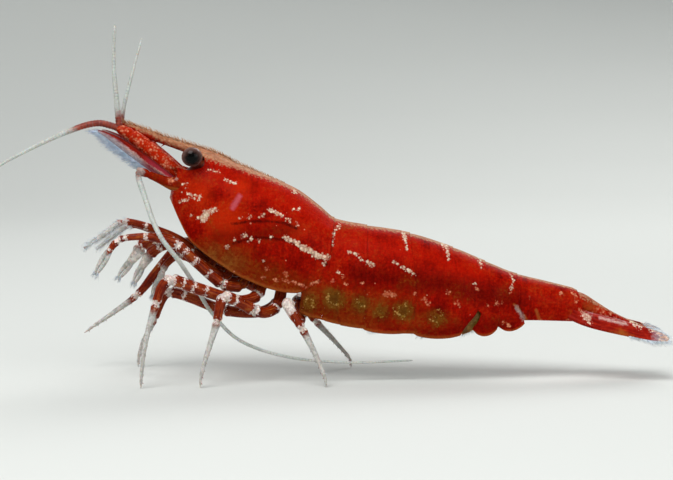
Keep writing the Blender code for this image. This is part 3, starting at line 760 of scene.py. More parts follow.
# How far it swells in the middle, sinks under the fifth ring and tucks in at its rear, from X to X
sixthRing = {"front": 19.4, "rear": 23.1, "spacing": 0.06, "around": 110, "belly": 0.12,
             "slope": 0.35, "slopeFrom": 21.0, "slopeMiddle": 4.5, "slopeHeight": 1.5, "swell": 0.04,
             "sink": 0.06, "sunk": (19.4, 20.3), "tuck": 0.1, "tucked": (22.85, 23.1)}


def sixthSection(row, angle):                # a full ring, flatter below
    part = sixthRing
    x = sixthRoute[row, 0]
    turn = angle - math.pi
    over = np.abs(turn) <= trunk["margin"]
    arch = np.sin(math.pi * (x - part["front"]) / (part["rear"] - part["front"]))
    grow = part["swell"] * arch * np.cos(turn / 2)
    grow = grow - part["sink"] * (1 - ease(*part["sunk"], x)) - part["tuck"] * ease(*part["tucked"], x)
    spots = trunkSpots(x, np.clip(turn, -trunk["margin"], trunk["margin"]), grow)
    closing = ease(trunk["margin"], math.pi, np.abs(turn))
    y = np.where(over, spots[:, 1], spots[:, 1] * np.cos(closing * math.pi / 2))
    z = np.where(over, spots[:, 2], spots[:, 2] - part["belly"] * np.sin(closing * math.pi / 2))
    return -y, z


sixthRoute = straightRoute(sixthRing["front"], sixthRing["rear"], sixthRing["spacing"])
sixth = sweep(sixthRoute, sixthRing["around"], sixthSection, facing=(0, 0, 1))
for vert in sixth.verts:                     # its rear edge slopes back towards the belly
    lower = (sixthRing["slopeMiddle"] - vert.co.z) / sixthRing["slopeHeight"]
    vert.co.x += sixthRing["slope"] * ease(sixthRing["slopeFrom"], sixthRing["rear"], vert.co.x) * lower
finishPiece("abdomen_ring_6", sixth, "shell", ["abdomen_segment_6"],
            lambda spots, run, turn: paintShell(spots, run, turn * 0 + 0.5))
print("abdomen built")


# ---- flesh seen between and below the plates

flesh = {
    "low": [(2.85, 9.3), (3.3, 8.3), (4.0, 7.25), (4.8, 6.7), (5.4, 6.25), (6.3, 5.65), (7.2, 5.2), (8.1, 4.75),
            (9.0, 4.25), (9.9, 4.1), (11.0, 4.4), (12.4, 4.15), (14.5, 4.05), (16.7, 4.0), (18.3, 4.0),
            (19.9, 3.7), (22.4, 3.4)],
    "high": [(2.85, 9.95), (3.1, 10.3), (3.6, 10.6), (4.05, 10.9), (4.45, 11.12), (5.0, 10.95), (8.15, 9.45),
             (10.9, 7.5), (14.5, 6.8), (18.3, 5.4), (22.4, 4.0)],
    "half": [(2.85, 0.7), (3.4, 1.05), (4.2, 1.3), (5.0, 1.5), (6.5, 1.7), (9.6, 1.7), (11.0, 1.55),
             (14.5, 1.45), (16.7, 1.25), (18.3, 1.05), (20.0, 0.85), (22.4, 0.5)],
    "sternites": [5.75, 6.5, 7.32, 8.2, 9.15, 10.9, 12.4, 14.5, 16.7, 18.3, 19.9], "furrow": 0.12,
    "ends": (2.85, 22.44), "spacing": 0.08, "around": 60, "waist": 0.45,
    "narrower": 0.28,                        # towards its lower edge
}


def fleshSection(row, angle):
    x = fleshRoute[row, 0]
    low, high, half = (onCurve(flesh[key], x) for key in ("low", "high", "half"))
    middle = low + flesh["waist"] * (high - low)
    up = np.sin(angle)
    z = middle + np.where(up > 0, high - middle, middle - low) * up
    nearest = np.min(np.abs(x[:, None] - np.array(flesh["sternites"])), axis=1)
    z = z + flesh["furrow"] * (1 - ease(0.0, 0.16, nearest)) * ease(0.4, 0.9, -up)
    return half * np.cos(angle) * (1 - flesh["narrower"] * ease(0.1, 1.0, -up)), z


def paintFlesh(spots, run, turn):
    return {"olive": 0.5 - np.abs(spots[:, 0] - 13.0) * 0.08}


fleshRoute = straightRoute(*flesh["ends"], flesh["spacing"])
finishPiece("flesh", sweep(fleshRoute, flesh["around"], fleshSection, facing=(0, 0, 1)), "flesh",
            ["thorax"], paintFlesh)


# ---- rostrum: a thin blade with a saw of small teeth, running back on to the carapace

rostrum = {
    # X, lower edge, upper edge, half thickness
    "blade": [(0.04, 12.86, 12.93, 0.03), (0.5, 12.6, 12.82, 0.07), (1.15, 12.24, 12.6, 0.11),
              (1.7, 11.96, 12.4, 0.14), (2.15, 11.82, 12.22, 0.16), (3.15, 11.46, 11.9, 0.22),
              (4.12, 11.12, 11.6, 0.34), (5.0, 10.95, 11.31, 0.28), (5.9, 10.7, 10.88, 0.1)],
    # rows of teeth from X to X, and their number; then the length, radius and height of a tooth
    "teeth": (0.35, 5.6, 21), "lowerTeeth": (0.6, 2.3, 5), "tooth": (0.22, 0.05, 0.13),
    "spacing": 0.05, "around": 28,
}
# The short hair along it and on to the carapace. Reach is how far a tip lies from its root in X, Y and Z
fuzz = {"from": 0.3, "to": 8.4, "hairs": 420, "shake": 0.02, "wide": 0.05, "sunk": 0.02, "radius": 0.018,
        "bend": 0.1, "reach": ((-0.2, -0.06), (-0.06, 0.06), (0.15, 0.32)), "shorterFrom": 5.5, "shorter": 0.6}
ridge = [(x, high) for x, low, high, half in rostrum["blade"]]
keel = [(x, low) for x, low, high, half in rostrum["blade"]]


def rostrumSection(row, angle):
    tall, half = rostrumRoute[row, 3], rostrumRoute[row, 4]
    return half * np.cos(angle) * np.abs(np.cos(angle)) ** 0.5, tall * np.sin(angle)


def paintRostrum(spots, run, turn):
    x, y, z = spots.T
    top, low = onCurve(ridge, x), onCurve(keel, x)
    redder = 0.12 * ease(3.4, 4.4, x) * ease(0.1, 0.25, np.abs(y))      # the sides of its foot
    return {"halo": -0.1, "glow": 0.4 - 0.3 * x,
            "stripe": (z - low) / (top - low) * 0.5 - 0.27 + 0.18 * ease(1.8, 2.4, x) - redder}


rostrumRoute = smoothRoute([(x, 0, (low + high) / 2, (high - low) / 2, half)
                            for x, low, high, half in rostrum["blade"]], rostrum["spacing"])
blade = sweep(rostrumRoute, rostrum["around"], rostrumSection, facing=(0, 0, 1))
long, thick, tall = rostrum["tooth"]
for start, end, count, edge, way in ((*rostrum["teeth"], ridge, 1), (*rostrum["lowerTeeth"], keel, -1)):
    for x in np.linspace(start, end, count):
        z = onCurve(edge, x)
        spike(blade, (x + long / 2, 0, z - 0.03 * way), (x - long / 2, 0, z + tall * way), thick)
finishPiece("rostrum", blade, "shell", ["rostrum"], paintRostrum)

count = fuzz["hairs"]
x = np.linspace(fuzz["from"], fuzz["to"], count) + chance.uniform(-fuzz["shake"], fuzz["shake"], count)
back = onCurve(trunk["back"], x)
# the blade, then the carapace
ground = np.where(x < 5.8, np.maximum(onCurve(ridge, x), back * (x > 3.4)), back)
root = np.stack([x, chance.uniform(-fuzz["wide"], fuzz["wide"], count), ground - fuzz["sunk"]], 1)
reach = np.stack([chance.uniform(least, most, count) for least, most in fuzz["reach"]], 1)
reach = reach * (1 - fuzz["shorter"] * ease(fuzz["shorterFrom"], fuzz["to"], x))[:, None]
hairs = bristles("rostrum_bristles", root, root + reach, reach[:, [2, 1, 0]] * fuzz["bend"], fuzz["radius"])
finishPiece("rostrum_bristles", hairs, "fuzz")
print("head ridge built")


# ---- eyes and their stalks

eye = {"radius": 0.47, "scale": (1.1, 0.94, 1.02), "gaze": (0.06, -1.0, -0.14), "facet": 0.05,
       "tones": [(0.17, "010101"), (0.23, "080403"), (0.29, "281815"), (0.38, "4c3530"), (0.5, "6c4f49"),
                 (0.58, "6e2e1e"), (1.0, "8c2a10")],
       "roughness": 0.22, "specular": 0.03, "coat": 0.34, "coatRoughness": 0.04, "coatIor": 1.33}
stalk = [(3.5, 0.2, 10.95, 0.2), (3.66, 0.45, 11.08, 0.23), (3.76, 0.85, 11.14, 0.31),
         (3.82, 1.15, 11.17, 0.42), (3.85, 1.36, 11.18, 0.46), (3.86, 1.46, 11.18, 0.45)]


def onSide(make, sign):                      # the left-hand shape, or its right-hand twin
    bm = make()
    if sign > 0:
        bmesh.ops.scale(bm, vec=(1, -1, 1), verts=bm.verts)
        bmesh.ops.reverse_faces(bm, faces=bm.faces)
    return bm


# both pieces, each in place of the CAD node of its name
def buildPair(name, make, look, paint=None):
    for side, sign in sides:
        own = "%s_%s" % (name, side)
        finishPiece(own, onSide(make, sign), look, [own], paint)


def makeEye():
    bm = bmesh.new()
    bmesh.ops.create_uvsphere(bm, u_segments=48, v_segments=32, radius=eye["radius"])
    bmesh.ops.scale(bm, vec=eye["scale"], verts=bm.verts)
    bmesh.ops.translate(bm, vec=eyeMiddle, verts=bm.verts)
    return bm


def paintEye(spots, run, turn):              # angle from the middle of the dark core, as a share of half a turn
    gaze = np.array(eye["gaze"]) / np.linalg.norm(eye["gaze"])
    sign = -1 if spots[:, 1].mean() > 0 else 1
    out = unit(spots * (1, sign, 1) - np.array(eyeMiddle))
    return {"core": np.degrees(np.arccos(np.clip(out @ gaze, -1, 1))) / 180}


def eyeMaterial():                           # a clear wet cornea over black pigment, brown-grey round its edge
    material, tree, shader, inMm = newMaterial("wet_cornea_over_pigment")
    angle = reckon(tree, "MULTIPLY_ADD", noise(tree, inMm, 9.0, 3.0), 0.1, painted(tree, "core"))
    facets = cellsOf(tree, inMm, 1 / eye["facet"])[0]
    feedShader(tree, shader, ramp(tree, angle, eye["tones"]), facets, 0.25, 0.00001, invert=True)
    setShader(shader, eye)
    shader.inputs["Roughness"].default_value = eye["roughness"]
    return material


def tubeSection(route):
    return lambda row, angle: (route[row, 3] * np.cos(angle), route[row, 3] * np.sin(angle))


def leftRoute(points, spacing):              # through (x, distance from the middle, z, anything else)
    return smoothRoute([(x, -y, z, *rest) for x, y, z, *rest in points], spacing)


def makeTube(points, spacing, around):       # a plain round body, its radius after each place
    route = leftRoute(points, spacing)
    return sweep(route, around, tubeSection(route))


def paintStalk(spots, run, turn):
    return {"olive": 0.0, "pink": run * 0.3 - 0.42}


materials["eye"] = eyeMaterial()
buildPair("eye", makeEye, "eye", paintEye)
buildPair("eyestalk", lambda: makeTube(stalk, 0.04, 36), "shell", paintStalk)
print("eyes built")


# ---- jointed limbs: each has a waist at every joint, swollen on both sides of it

joint = {"waist": 0.26, "waistWidth": 0.06, "swell": 0.12, "swellAt": 0.17, "swellWidth": 0.1,
         "spacing": 0.07, "around": 18, "clearOver": 0.6}


def limbRoute(points, sign, joints, depth=1.0):      # rows of x, y, z, radius and place among the points
    rows = smoothRoute([(x, sign * y, z, radius, rank) for rank, (x, y, z, radius) in enumerate(points)],
                       joint["spacing"])
    run = distances(rows)
    for rank in joints:
        gap = np.abs(run - np.interp(rank, rows[:, 4], run))
        inWaist, inSwell = gap / joint["waistWidth"], (gap - joint["swellAt"]) / joint["swellWidth"]
        rows[:, 3] *= 1 - depth * joint["waist"] * np.exp(-inWaist ** 2)
        rows[:, 3] *= 1 + depth * joint["swell"] * np.exp(-inSwell ** 2)
    return rows


def bandPaint(route, bands, clearFrom):
    # pale bands given as (place among the points, half width); the limb turns clear past clearFrom
    run, rank = distances(route), route[:, 4]

    def paint(spots, along, turn):
        pale = np.full(len(spots), farOutside)
        for place, half in bands:
            pale = np.maximum(pale, half - np.abs(along - np.interp(place, rank, run)))
        return {"pale": pale, "clear": (along - np.interp(clearFrom, rank, run)) / joint["clearOver"]}
    return paint


limbs = {
    # points: X, distance from the middle, Z and radius; joints, start of the clear part and pale bands (with
    # their half width in mm) by place among the points
    "maxilliped_left": {
        "points": [(5.0, .42, 6.3, .22), (4.55, .42, 5.86, .22), (3.22, .45, 6.95, .21), (1.74, .6, 7.6, .2),
                   (0.4, .9, 7.92, .17), (-0.5, 1.1, 7.36, .15), (-1.55, 1.3, 6.66, .08)],
        "joints": [1, 4], "clear": 4.2, "tip": "brush",
        "bands": [(1.6, .06), (3.2, .08), (4.0, .16)]},
    "maxilliped_right": {
        "points": [(5.0, .42, 6.3, .22), (4.55, .42, 5.86, .22), (3.22, .45, 6.8, .2), (1.74, .6, 7.4, .19),
                   (0.5, .9, 7.66, .16), (-0.35, 1.1, 7.1, .14), (-1.25, 1.3, 6.38, .07)],
        "joints": [1, 4], "clear": 4.2, "tip": "brush",
        "bands": [(2.5, .06), (4.0, .14)]},
    "pereopod_1_left": {
        "points": [(5.75, .7, 5.75, .24), (5.35, .85, 5.24, .23), (4.05, 1.15, 6.0, .23),
                   (2.9, 1.22, 6.98, .22), (2.15, 1.3, 7.18, .27), (1.4, 1.35, 6.85, .3), (1.1, 1.35, 6.4, .27),
                   (0.75, 1.34, 5.95, .2)],
        "joints": [1, 3, 5.3], "clear": 5.5, "tip": "pincer", "fingers": (0.12, 1.3, 5.12),
        "bands": [(3.0, .1), (4.3, .07), (5.2, .06), (6.4, .3)]},
    "pereopod_1_right": {
        "points": [(5.75, .7, 5.75, .24), (5.35, .85, 5.24, .23), (4.1, 1.15, 5.85, .22), (3.0, 1.22, 6.5, .21),
                   (2.2, 1.3, 6.58, .26), (1.55, 1.35, 6.2, .28), (1.25, 1.35, 5.8, .25),
                   (1.0, 1.34, 5.4, .18)],
        "joints": [1, 3, 5.3], "clear": 5.4, "tip": "pincer", "fingers": (0.62, 1.3, 4.6),
        "bands": [(3.0, .1), (4.3, .07), (6.4, .25)]},
    "pereopod_2_left": {
        "points": [(6.5, .85, 5.4, .26), (6.2, 1.05, 4.76, .26), (5.3, 1.5, 4.9, .26), (4.2, 1.85, 5.87, .26),
                   (3.15, 2.05, 6.86, .25), (1.9, 2.1, 7.26, .2), (0.6, 2.1, 7.22, .16), (0.1, 2.12, 6.95, .17),
                   (-0.3, 2.15, 6.4, .14)],
        "joints": [1, 2, 4, 6.6], "clear": 9.0, "tip": "pincer", "fingers": (-0.88, 2.2, 5.4),
        "bands": [(2.0, .1), (2.6, .08), (3.2, .08), (3.65, .06), (4.0, .12), (5.2, .1), (6.0, .09), (6.6, .16),
                  (7.6, .06)]},
    "pereopod_2_right": {
        "points": [(6.5, .85, 5.4, .26), (6.2, 1.05, 4.76, .26), (5.2, 1.4, 4.9, .25), (4.05, 1.7, 5.56, .24),
                   (3.0, 1.82, 6.02, .2), (2.3, 1.9, 5.6, .17), (1.95, 1.94, 4.95, .16), (1.8, 1.96, 4.6, .13)],
        "joints": [1, 2, 4, 5.6], "clear": 5.3, "tip": "pincer", "fingers": (1.52, 2.0, 3.85),
        "bands": [(2.0, .1), (4.0, .12), (5.6, .1)]},
    "pereopod_3_left": {
        "points": [(7.32, .9, 5.0, .27), (7.05, 1.25, 4.32, .28), (6.4, 1.8, 4.1, .27), (5.6, 2.12, 4.26, .28),
                   (4.1, 2.58, 4.8, .3), (2.95, 2.95, 5.22, .28), (2.45, 3.08, 4.85, .25), (2.2, 3.2, 4.1, .2),
                   (1.85, 3.42, 2.9, .14), (1.6, 3.6, 1.6, .11), (1.5, 3.69, .5, .08), (1.48, 3.7, 0.03, .02)],
        "joints": [1, 3, 5, 7, 10], "clear": 7.4, "tip": "claw",
        "bands": [(1.0, .1), (3.0, .1), (3.7, .07), (4.1, .07), (4.5, .08), (5.1, .2), (7.0, .15)]},
    "pereopod_3_right": {
        "points": [(7.32, .9, 5.0, .27), (7.05, 1.3, 4.44, .28), (6.2, 1.95, 4.7, .27), (4.7, 2.5, 5.75, .28),
                   (3.5, 2.75, 6.55, .27), (2.75, 2.8, 6.35, .26), (1.6, 2.85, 5.0, .26), (0.6, 2.9, 3.85, .18),
                   (-0.75, 3.0, 2.85, .12), (-1.7, 3.07, 2.2, .08), (-2.15, 3.1, 1.86, .02)],
        "joints": [1, 2, 4.6, 7, 9], "clear": 7.3, "tip": "claw",
        "bands": [(2.0, .1), (4.6, .14), (5.7, .06), (7.0, .2)]},
    "pereopod_4_left": {
        "points": [(8.2, .95, 4.45, .27), (8.0, 1.3, 3.76, .28), (7.5, 1.8, 3.5, .27), (6.9, 2.15, 3.68, .28),
                   (6.0, 2.62, 4.22, .29), (5.5, 2.92, 4.38, .27), (5.28, 3.05, 3.9, .25),
                   (5.15, 3.12, 3.2, .2), (4.85, 3.28, 2.2, .14), (4.6, 3.4, 1.4, .12), (4.38, 3.5, .5, .08),
                   (4.35, 3.5, 0.03, .02)],
        "joints": [1, 3, 5, 7, 10], "clear": 7.2, "tip": "claw",
        "bands": [(1.2, .1), (3.0, .16), (4.0, .08), (5.0, .2), (7.0, .13)]},
    "pereopod_4_right": {
        "points": [(8.2, .95, 4.45, .27), (8.0, 1.3, 3.7, .28), (7.0, 1.8, 3.1, .27), (5.2, 2.3, 3.15, .28),
                   (3.4, 2.75, 3.75, .28), (2.35, 2.98, 4.0, .27), (1.95, 3.05, 3.7, .24),
                   (1.5, 3.12, 2.6, .18), (1.1, 3.22, 1.8, .13), (0.85, 3.3, 1.3, .11), (0.63, 3.4, .5, .08),
                   (0.6, 3.4, 0.03, .02)],
        "joints": [1, 3, 5, 7, 10], "clear": 7.3, "tip": "claw",
        "bands": [(1.0, .1), (3.0, .12), (4.2, .1), (5.0, .18), (7.0, .12)]},
    "pereopod_5_left": {
        "points": [(9.15, 1.0, 3.85, .27), (9.2, 1.35, 3.16, .27), (8.95, 2.0, 3.3, .27),
                   (8.6, 2.55, 4.05, .28), (8.72, 2.8, 3.75, .25), (9.3, 2.95, 2.85, .19),
                   (9.95, 3.15, 1.6, .13), (10.4, 3.28, .5, .08), (10.45, 3.3, 0.03, .02)],
        "joints": [1, 3, 5, 7], "clear": 5.3, "tip": "claw",
        "bands": [(1.0, .1), (3.6, .46), (5.0, .16)]},
    "pereopod_5_right": {
        "points": [(9.15, 1.0, 3.85, .27), (9.2, 1.35, 3.16, .27), (9.0, 2.0, 3.1, .27), (9.0, 2.55, 3.75, .27),
                   (9.3, 2.8, 3.3, .24), (9.9, 2.95, 2.5, .18), (10.9, 3.2, 1.4, .12), (11.65, 3.38, .5, .08),
                   (11.75, 3.4, 0.03, .02)],
        "joints": [1, 3, 5, 7], "clear": 5.2, "tip": "claw",
        "bands": [(3.0, .2), (5.0, .14)]},
}
pincer = {"spread": 0.1, "radius": 0.125, "spacing": 0.05, "around": 10,
          "hairs": 40, "hairLength": 0.34, "splay": 0.15, "rootStray": 0.03, "tipStray": 0.05,
          # of each finger, as shares: place along it, how far it stands apart there, radius
          "finger": ((-0.15, 0.5, 1.0), (0.2, 1.0, 0.95), (0.6, 1.0, 0.7), (0.9, 0.55, 0.4), (1.0, 0.3, 0.15))}
claw = {"spinules": 7, "from": 0.72, "to": 0.975, "length": 0.12, "radius": 0.025, "lean": 0.9}
# Hairs on the limbs without pincers: how many, between which shares of the length, how deep they root, how far
# they lean along the limb and stand out from it, and how long they are
limbHairs = {
    "brush": {"hairs": 260, "from": 0.66, "to": 1.0, "rooted": 0.8, "lean": (0.8, 0.5),
              "lengths": (0.18, 0.42)},
    "claw": {"hairs": 26, "from": 0.25, "to": 0.95, "rooted": 0.85, "lean": (0.6, 1.0),
             "lengths": (0.08, 0.16)},
}


def addFingers(bm, route, tipSpot, hairs):   # two curved fingers from the end of the palm, each with a brush
    start, way = route[-1, :3], unit(np.array(tipSpot) - route[-1, :3])
    across = unit(np.cross(way, (0.0, 1.0, 0.0)))
    length = np.linalg.norm(np.array(tipSpot) - start)
    for lift in (-1, 1):
        apart = across * lift * pincer["spread"]
        finger = smoothRoute([(*(start + way * length * t + apart * bow), pincer["radius"] * radius)
                              for t, bow, radius in pincer["finger"]], pincer["spacing"])
        body = sweep(finger, pincer["around"], tubeSection(finger))
        layer = body.verts.layers.float["run"]
        for vert in body.verts:
            vert[layer] += distances(route)[-1]
        join(bm, body)
        count = pincer["hairs"]
        roots = finger[-4, :3] + scattered(count, pincer["rootStray"])
        lean = (way + across * lift * pincer["splay"]) * pincer["hairLength"]
        tips = roots + lean * chance.uniform(0.5, 1, (count, 1))
        hairs.append((roots, tips + scattered(count, pincer["tipStray"])))


def addLimbHairs(route, look, hairs):
    run, count = distances(route), look["hairs"]
    along, normal, across = framesAlong(route)
    rows = np.searchsorted(run, chance.uniform(run[-1] * look["from"], run[-1] * look["to"], count)) - 1
    angle = chance.uniform(0, 2 * math.pi, count)[:, None]
    out = normal[rows] * np.sin(angle) + across[rows] * np.cos(angle)
    roots = route[rows, :3] + out * route[rows, 3:4] * look["rooted"]
    ahead, outward = look["lean"]
    far = chance.uniform(*look["lengths"], (count, 1))
    hairs.append((roots, roots + (along[rows] * ahead + out * outward) * far))


def addSpinules(bm, route):                  # a row of spinules under the last segments
    run = distances(route)
    along = framesAlong(route)[0]
    down = unit(np.array([0.0, 0.0, -1.0]) - along * -along[:, 2:3])
    for place in np.linspace(claw["from"], claw["to"], claw["spinules"]):
        row = np.searchsorted(run, run[-1] * place)
        root = route[row, :3] + down[row] * route[row, 3] * 0.7
        spike(bm, root, root + unit(down[row] + along[row] * claw["lean"]) * claw["length"], claw["radius"])


legHairs = {"left": [], "right": []}
for name, limb in limbs.items():
    side = name.rsplit("_", 1)[1]
    sign = -1 if side == "left" else 1
    route = limbRoute(limb["points"], sign, limb["joints"])
    bm = sweep(route, joint["around"], tubeSection(route))
    if limb["tip"] == "pincer":
        x, y, z = limb["fingers"]
        addFingers(bm, route, (x, sign * y, z), legHairs[side])
    else:
        if limb["tip"] == "claw":
            addSpinules(bm, route)
        addLimbHairs(route, limbHairs[limb["tip"]], legHairs[side])
    finishPiece(name, bm, "limb", [name], bandPaint(route, limb["bands"], limb["clear"]))
for side, tufts in legHairs.items():
    finishHairs("leg_bristles_%s" % side, tufts, "hair", stray=0.01, radius=0.013)
print("limbs built")


# ---- feelers: ringed, tapering from base to tip

feelers = {
    # X, Y and Z of the points on the route, radius at base and tip, length of the red part at the base
    "antennule_upper_left": ([(0.2, -.45, 12.55), (0.13, -.45, 13.02), (0.05, -.5, 14.0), (-0.05, -.58, 15.4),
                              (-0.05, -.6, 16.6), (0.02, -.6, 17.72)], 0.17, 0.075, 0.8),
    "antennule_upper_right": ([(0.2, .45, 12.55), (0.2, .46, 13.02), (0.34, .62, 13.9), (0.66, .92, 15.2),
                               (1.15, 1.3, 17.1)], 0.14, 0.05, 0.8),
    "antennule_lower_left": ([(0.25, -.46, 12.5), (-0.2, -.47, 12.68), (-1.0, -.6, 12.8), (-2.3, -.8, 12.42),
                              (-4.2, -1.15, 11.55), (-5.8, -1.5, 10.68), (-7.35, -1.85, 9.78)],
                             0.17, 0.06, 2.6),
    "antennule_lower_right": ([(0.25, .46, 12.5), (-0.2, .47, 12.68), (-1.1, .65, 12.84), (-2.4, .85, 12.5),
                               (-4.3, 1.15, 11.65), (-6.0, 1.5, 10.75), (-7.25, 1.85, 10.08)], 0.15, 0.05, 2.6),
    "antenna_flagellum_left": ([(1.2, -1.22, 10.45), (1.2, -1.3, 10.1), (1.38, -1.5, 9.6), (1.66, -1.85, 8.9),
                                (1.99, -2.4, 8.1), (2.5, -2.85, 7.2), (3.3, -2.65, 6.1), (4.0, -1.85, 4.85),
                                (4.8, -1.75, 3.5), (6.2, -1.75, 2.1), (8.6, -1.6, 1.25), (11.6, -1.35, .95),
                                (14.8, -1.0, 1.0)],
                               0.15, 0.05, 0.2),
    "antenna_flagellum_right": ([(1.2, 1.22, 10.38), (0.98, 1.4, 10.45), (0.9, 1.95, 10.4), (1.3, 2.75, 10.15),
                                 (2.6, 3.3, 9.5), (5.0, 3.55, 8.2), (8.4, 3.5, 6.5), (12.6, 3.1, 5.2),
                                 (17.0, 2.6, 4.4), (21.4, 2.1, 3.6)], 0.14, 0.045, 0.2),
}
feelerRing = {"length": 0.16, "swell": 0.09, "spacing": 0.04, "around": 12,
              "taper": 0.7, "fine": 0.6, "fineEnd": 0.3}
for name, (points, base, tip, red) in feelers.items():
    route = smoothRoute(points, feelerRing["spacing"])
    run = distances(route)
    wave = np.abs(np.sin(math.pi * run / feelerRing["length"]))
    radius = base + (tip - base) * (run / run[-1]) ** feelerRing["taper"]
    radius = radius * (1 - feelerRing["swell"] + 2 * feelerRing["swell"] * wave)
    radius *= 1 - feelerRing["fine"] * ease(run[-1] - feelerRing["fineEnd"], run[-1], run)
    route = np.column_stack([route, radius])

    def paintFeeler(spots, along, turn, red=red):
        phase = (along / feelerRing["length"]) % 1.0
        return {"red": (red - along) * 0.6, "ring": 0.1 - np.minimum(phase, 1 - phase)}
    finishPiece(name, sweep(route, feelerRing["around"], tubeSection(route)), "feeler", [name],
                paintFeeler)
print("feelers built")


# ---- antennules and antennae: stout stalks, and a broad scale outside each

peduncle = {
    "points": [(3.5, 0.45, 10.05, 0.3), (2.95, 0.5, 10.42, 0.37), (2.4, 0.54, 10.86, 0.41),
               (1.86, 0.54, 11.33, 0.4), (1.5, 0.53, 11.64, 0.39), (1.1, 0.5, 11.98, 0.36),
               (0.75, 0.48, 12.21, 0.32), (0.3, 0.46, 12.48, 0.26), (0.1, 0.46, 12.6, 0.18)],
    "joints": [4, 6], "depth": 0.5, "around": 28,
    "plate": ((3.0, -0.8, 10.5), (1.75, -0.86, 11.25), 0.13),      # the pointed plate outside the first segment
}
antennaRoot = {
    "points": [(3.5, 0.95, 9.75, 0.44), (3.05, 1.0, 9.8, 0.4), (2.65, 1.04, 9.9, 0.3), (2.2, 1.1, 10.08, 0.22),
               (1.75, 1.16, 10.27, 0.18), (1.4, 1.2, 10.42, 0.21), (1.12, 1.24, 10.47, 0.2)],
    "joints": [4.2], "depth": 0.4, "around": 24,
}
# X, distance from the middle, Z, half width towards the outer and the inner edge, half thickness
antennaScale = {
    "points": [(2.95, 1.0, 10.02, 0.16, 0.28, 0.1), (2.36, 1.0, 10.42, 0.22, 0.4, 0.09),
               (1.5, 0.95, 11.03, 0.28, 0.42, 0.07), (0.5, 0.88, 11.72, 0.28, 0.36, 0.06),
               (-0.1, 0.83, 12.1, 0.2, 0.28, 0.05), (-0.6, 0.8, 12.36, 0.11, 0.16, 0.04),
               (-0.85, 0.78, 12.45, 0.04, 0.05, 0.03)],
    "facing": (-0.2, -0.72, -0.45), "fringe": (0.2, 0.8, 300),      # start, length and number of its hairs
}


def makeStalk(part):                         # its joints are less deep than a leg's
    route = limbRoute(part["points"], -1, part["joints"], part["depth"])
    return sweep(route, part["around"], tubeSection(route))


def makePeduncle():
    bm = makeStalk(peduncle)
    spike(bm, *peduncle["plate"])
    return bm


bladeSpacing = 0.05
# Ribs of a leaf, near its outer edge and along its middle: height, place across and width
bladeRibs = ((0.8, 0.86, 0.1), (0.5, 0.0, 0.12))
# Hairs along a leaf's edge: how deep they root, how they turn and shorten towards the ends of their row
edgeHairs = {"rooted": 0.96, "turned": 0.6, "turnFrom": 0.75, "shortest": 0.55, "stray": 0.045, "growth": 0.25}


def bladeSection(route, camber=0.0):         # a thin leaf with its ribs
    def section(row, angle):
        outer, inner, thick = route[row, 3], route[row, 4], route[row, 5]
        share = np.cos(angle)
        out = np.where(share > 0, outer, inner) * share
        rib = 1.0
        for high, place, wide in bladeRibs:
            rib = rib + high * np.exp(-((share - place) / wide) ** 2)
        return out, thick * np.sin(angle) * rib * (1 - 0.4 * share ** 2) - camber * share ** 2 * outer
    return section


def evenBlade(points, **more):               # a blade as wide on one side as on the other
    return {"points": [(x, y, z, half, half, thick) for x, y, z, half, thick in points], **more}


def makeBlade(part, around=40):
    route = leftRoute(part["points"], bladeSpacing)
    return sweep(route, around, bladeSection(route, part.get("camber", 0.0)), facing=part["facing"])


def fringeOf(part, sign, start, length, count, edges=(-1,), lean=0.75):
    # count hairs along each chosen edge of a blade (1 outer, -1 inner), from start, a share of its length, to
    # its end; roots and tips for the left side of the animal if sign is -1 and for the right if it is 1
    flip = (1, -sign, 1)
    route = leftRoute(part["points"], bladeSpacing)
    along, normal, across = framesAlong(route, part["facing"])
    roots, tips = [], []
    for edge in edges:
        rows = np.linspace(start * (len(route) - 1), len(route) - 1, count).round().astype(int)
        half = route[rows, 3] if edge > 0 else route[rows, 4]
        root = route[rows, :3] + across[rows] * (edge * half * edgeHairs["rooted"])[:, None]
        end = ease(edgeHairs["turnFrom"], 1.0, rows / (len(route) - 1))[:, None]
        way = unit(across[rows] * edge * (1 - edgeHairs["turned"] * end) + along[rows] * (lean + end))
        grown = 0.5 + 0.5 * ease(start, start + edgeHairs["growth"], rows / len(route))
        far = length * chance.uniform(edgeHairs["shortest"], 1.0, (count, 1)) * grown[:, None]
        roots.append(root)
        tips.append(root + way * far + scattered(count, edgeHairs["stray"]))
    return np.concatenate(roots) * flip, np.concatenate(tips) * flip


def paintPeduncle(spots, run, turn):
    return {"glow": 0.35, "halo": -0.06, "speck": 0.03 * np.sin(run * 7 + turn * 2) - 0.03}


def paintRoot(spots, run, turn):             # whitish where the feeler leaves it, ochre along its lower edge
    flank = spots[:, [0, 2]]
    return {"olive": 0.0, "halo": -0.02, "speck": insideDots(flank, [(2.8, 10.0, 0.14)]),
            "rim": (onCurve([(1.1, 10.5), (2.2, 10.1), (3.5, 9.8)], spots[:, 0]) - spots[:, 2]) - 0.26,
            "haze": insideDots(flank, [(1.15, 10.45, 0.34)])}


def paintScale(spots, run, turn):            # turn runs from 1 at the outer edge to -1 at the inner one
    # the pale band along its middle is partly a painted highlight
    return {"clear": (run - 1.6) * 0.2 - turn * 0.7 - 0.2, "rim": turn * 0.3 - 0.25,
            "pink": (1.7 - run) * 0.5, "haze": 0.05 - np.abs(turn + 0.15) * 0.3 + 0.04 * np.sin(run * 3)}


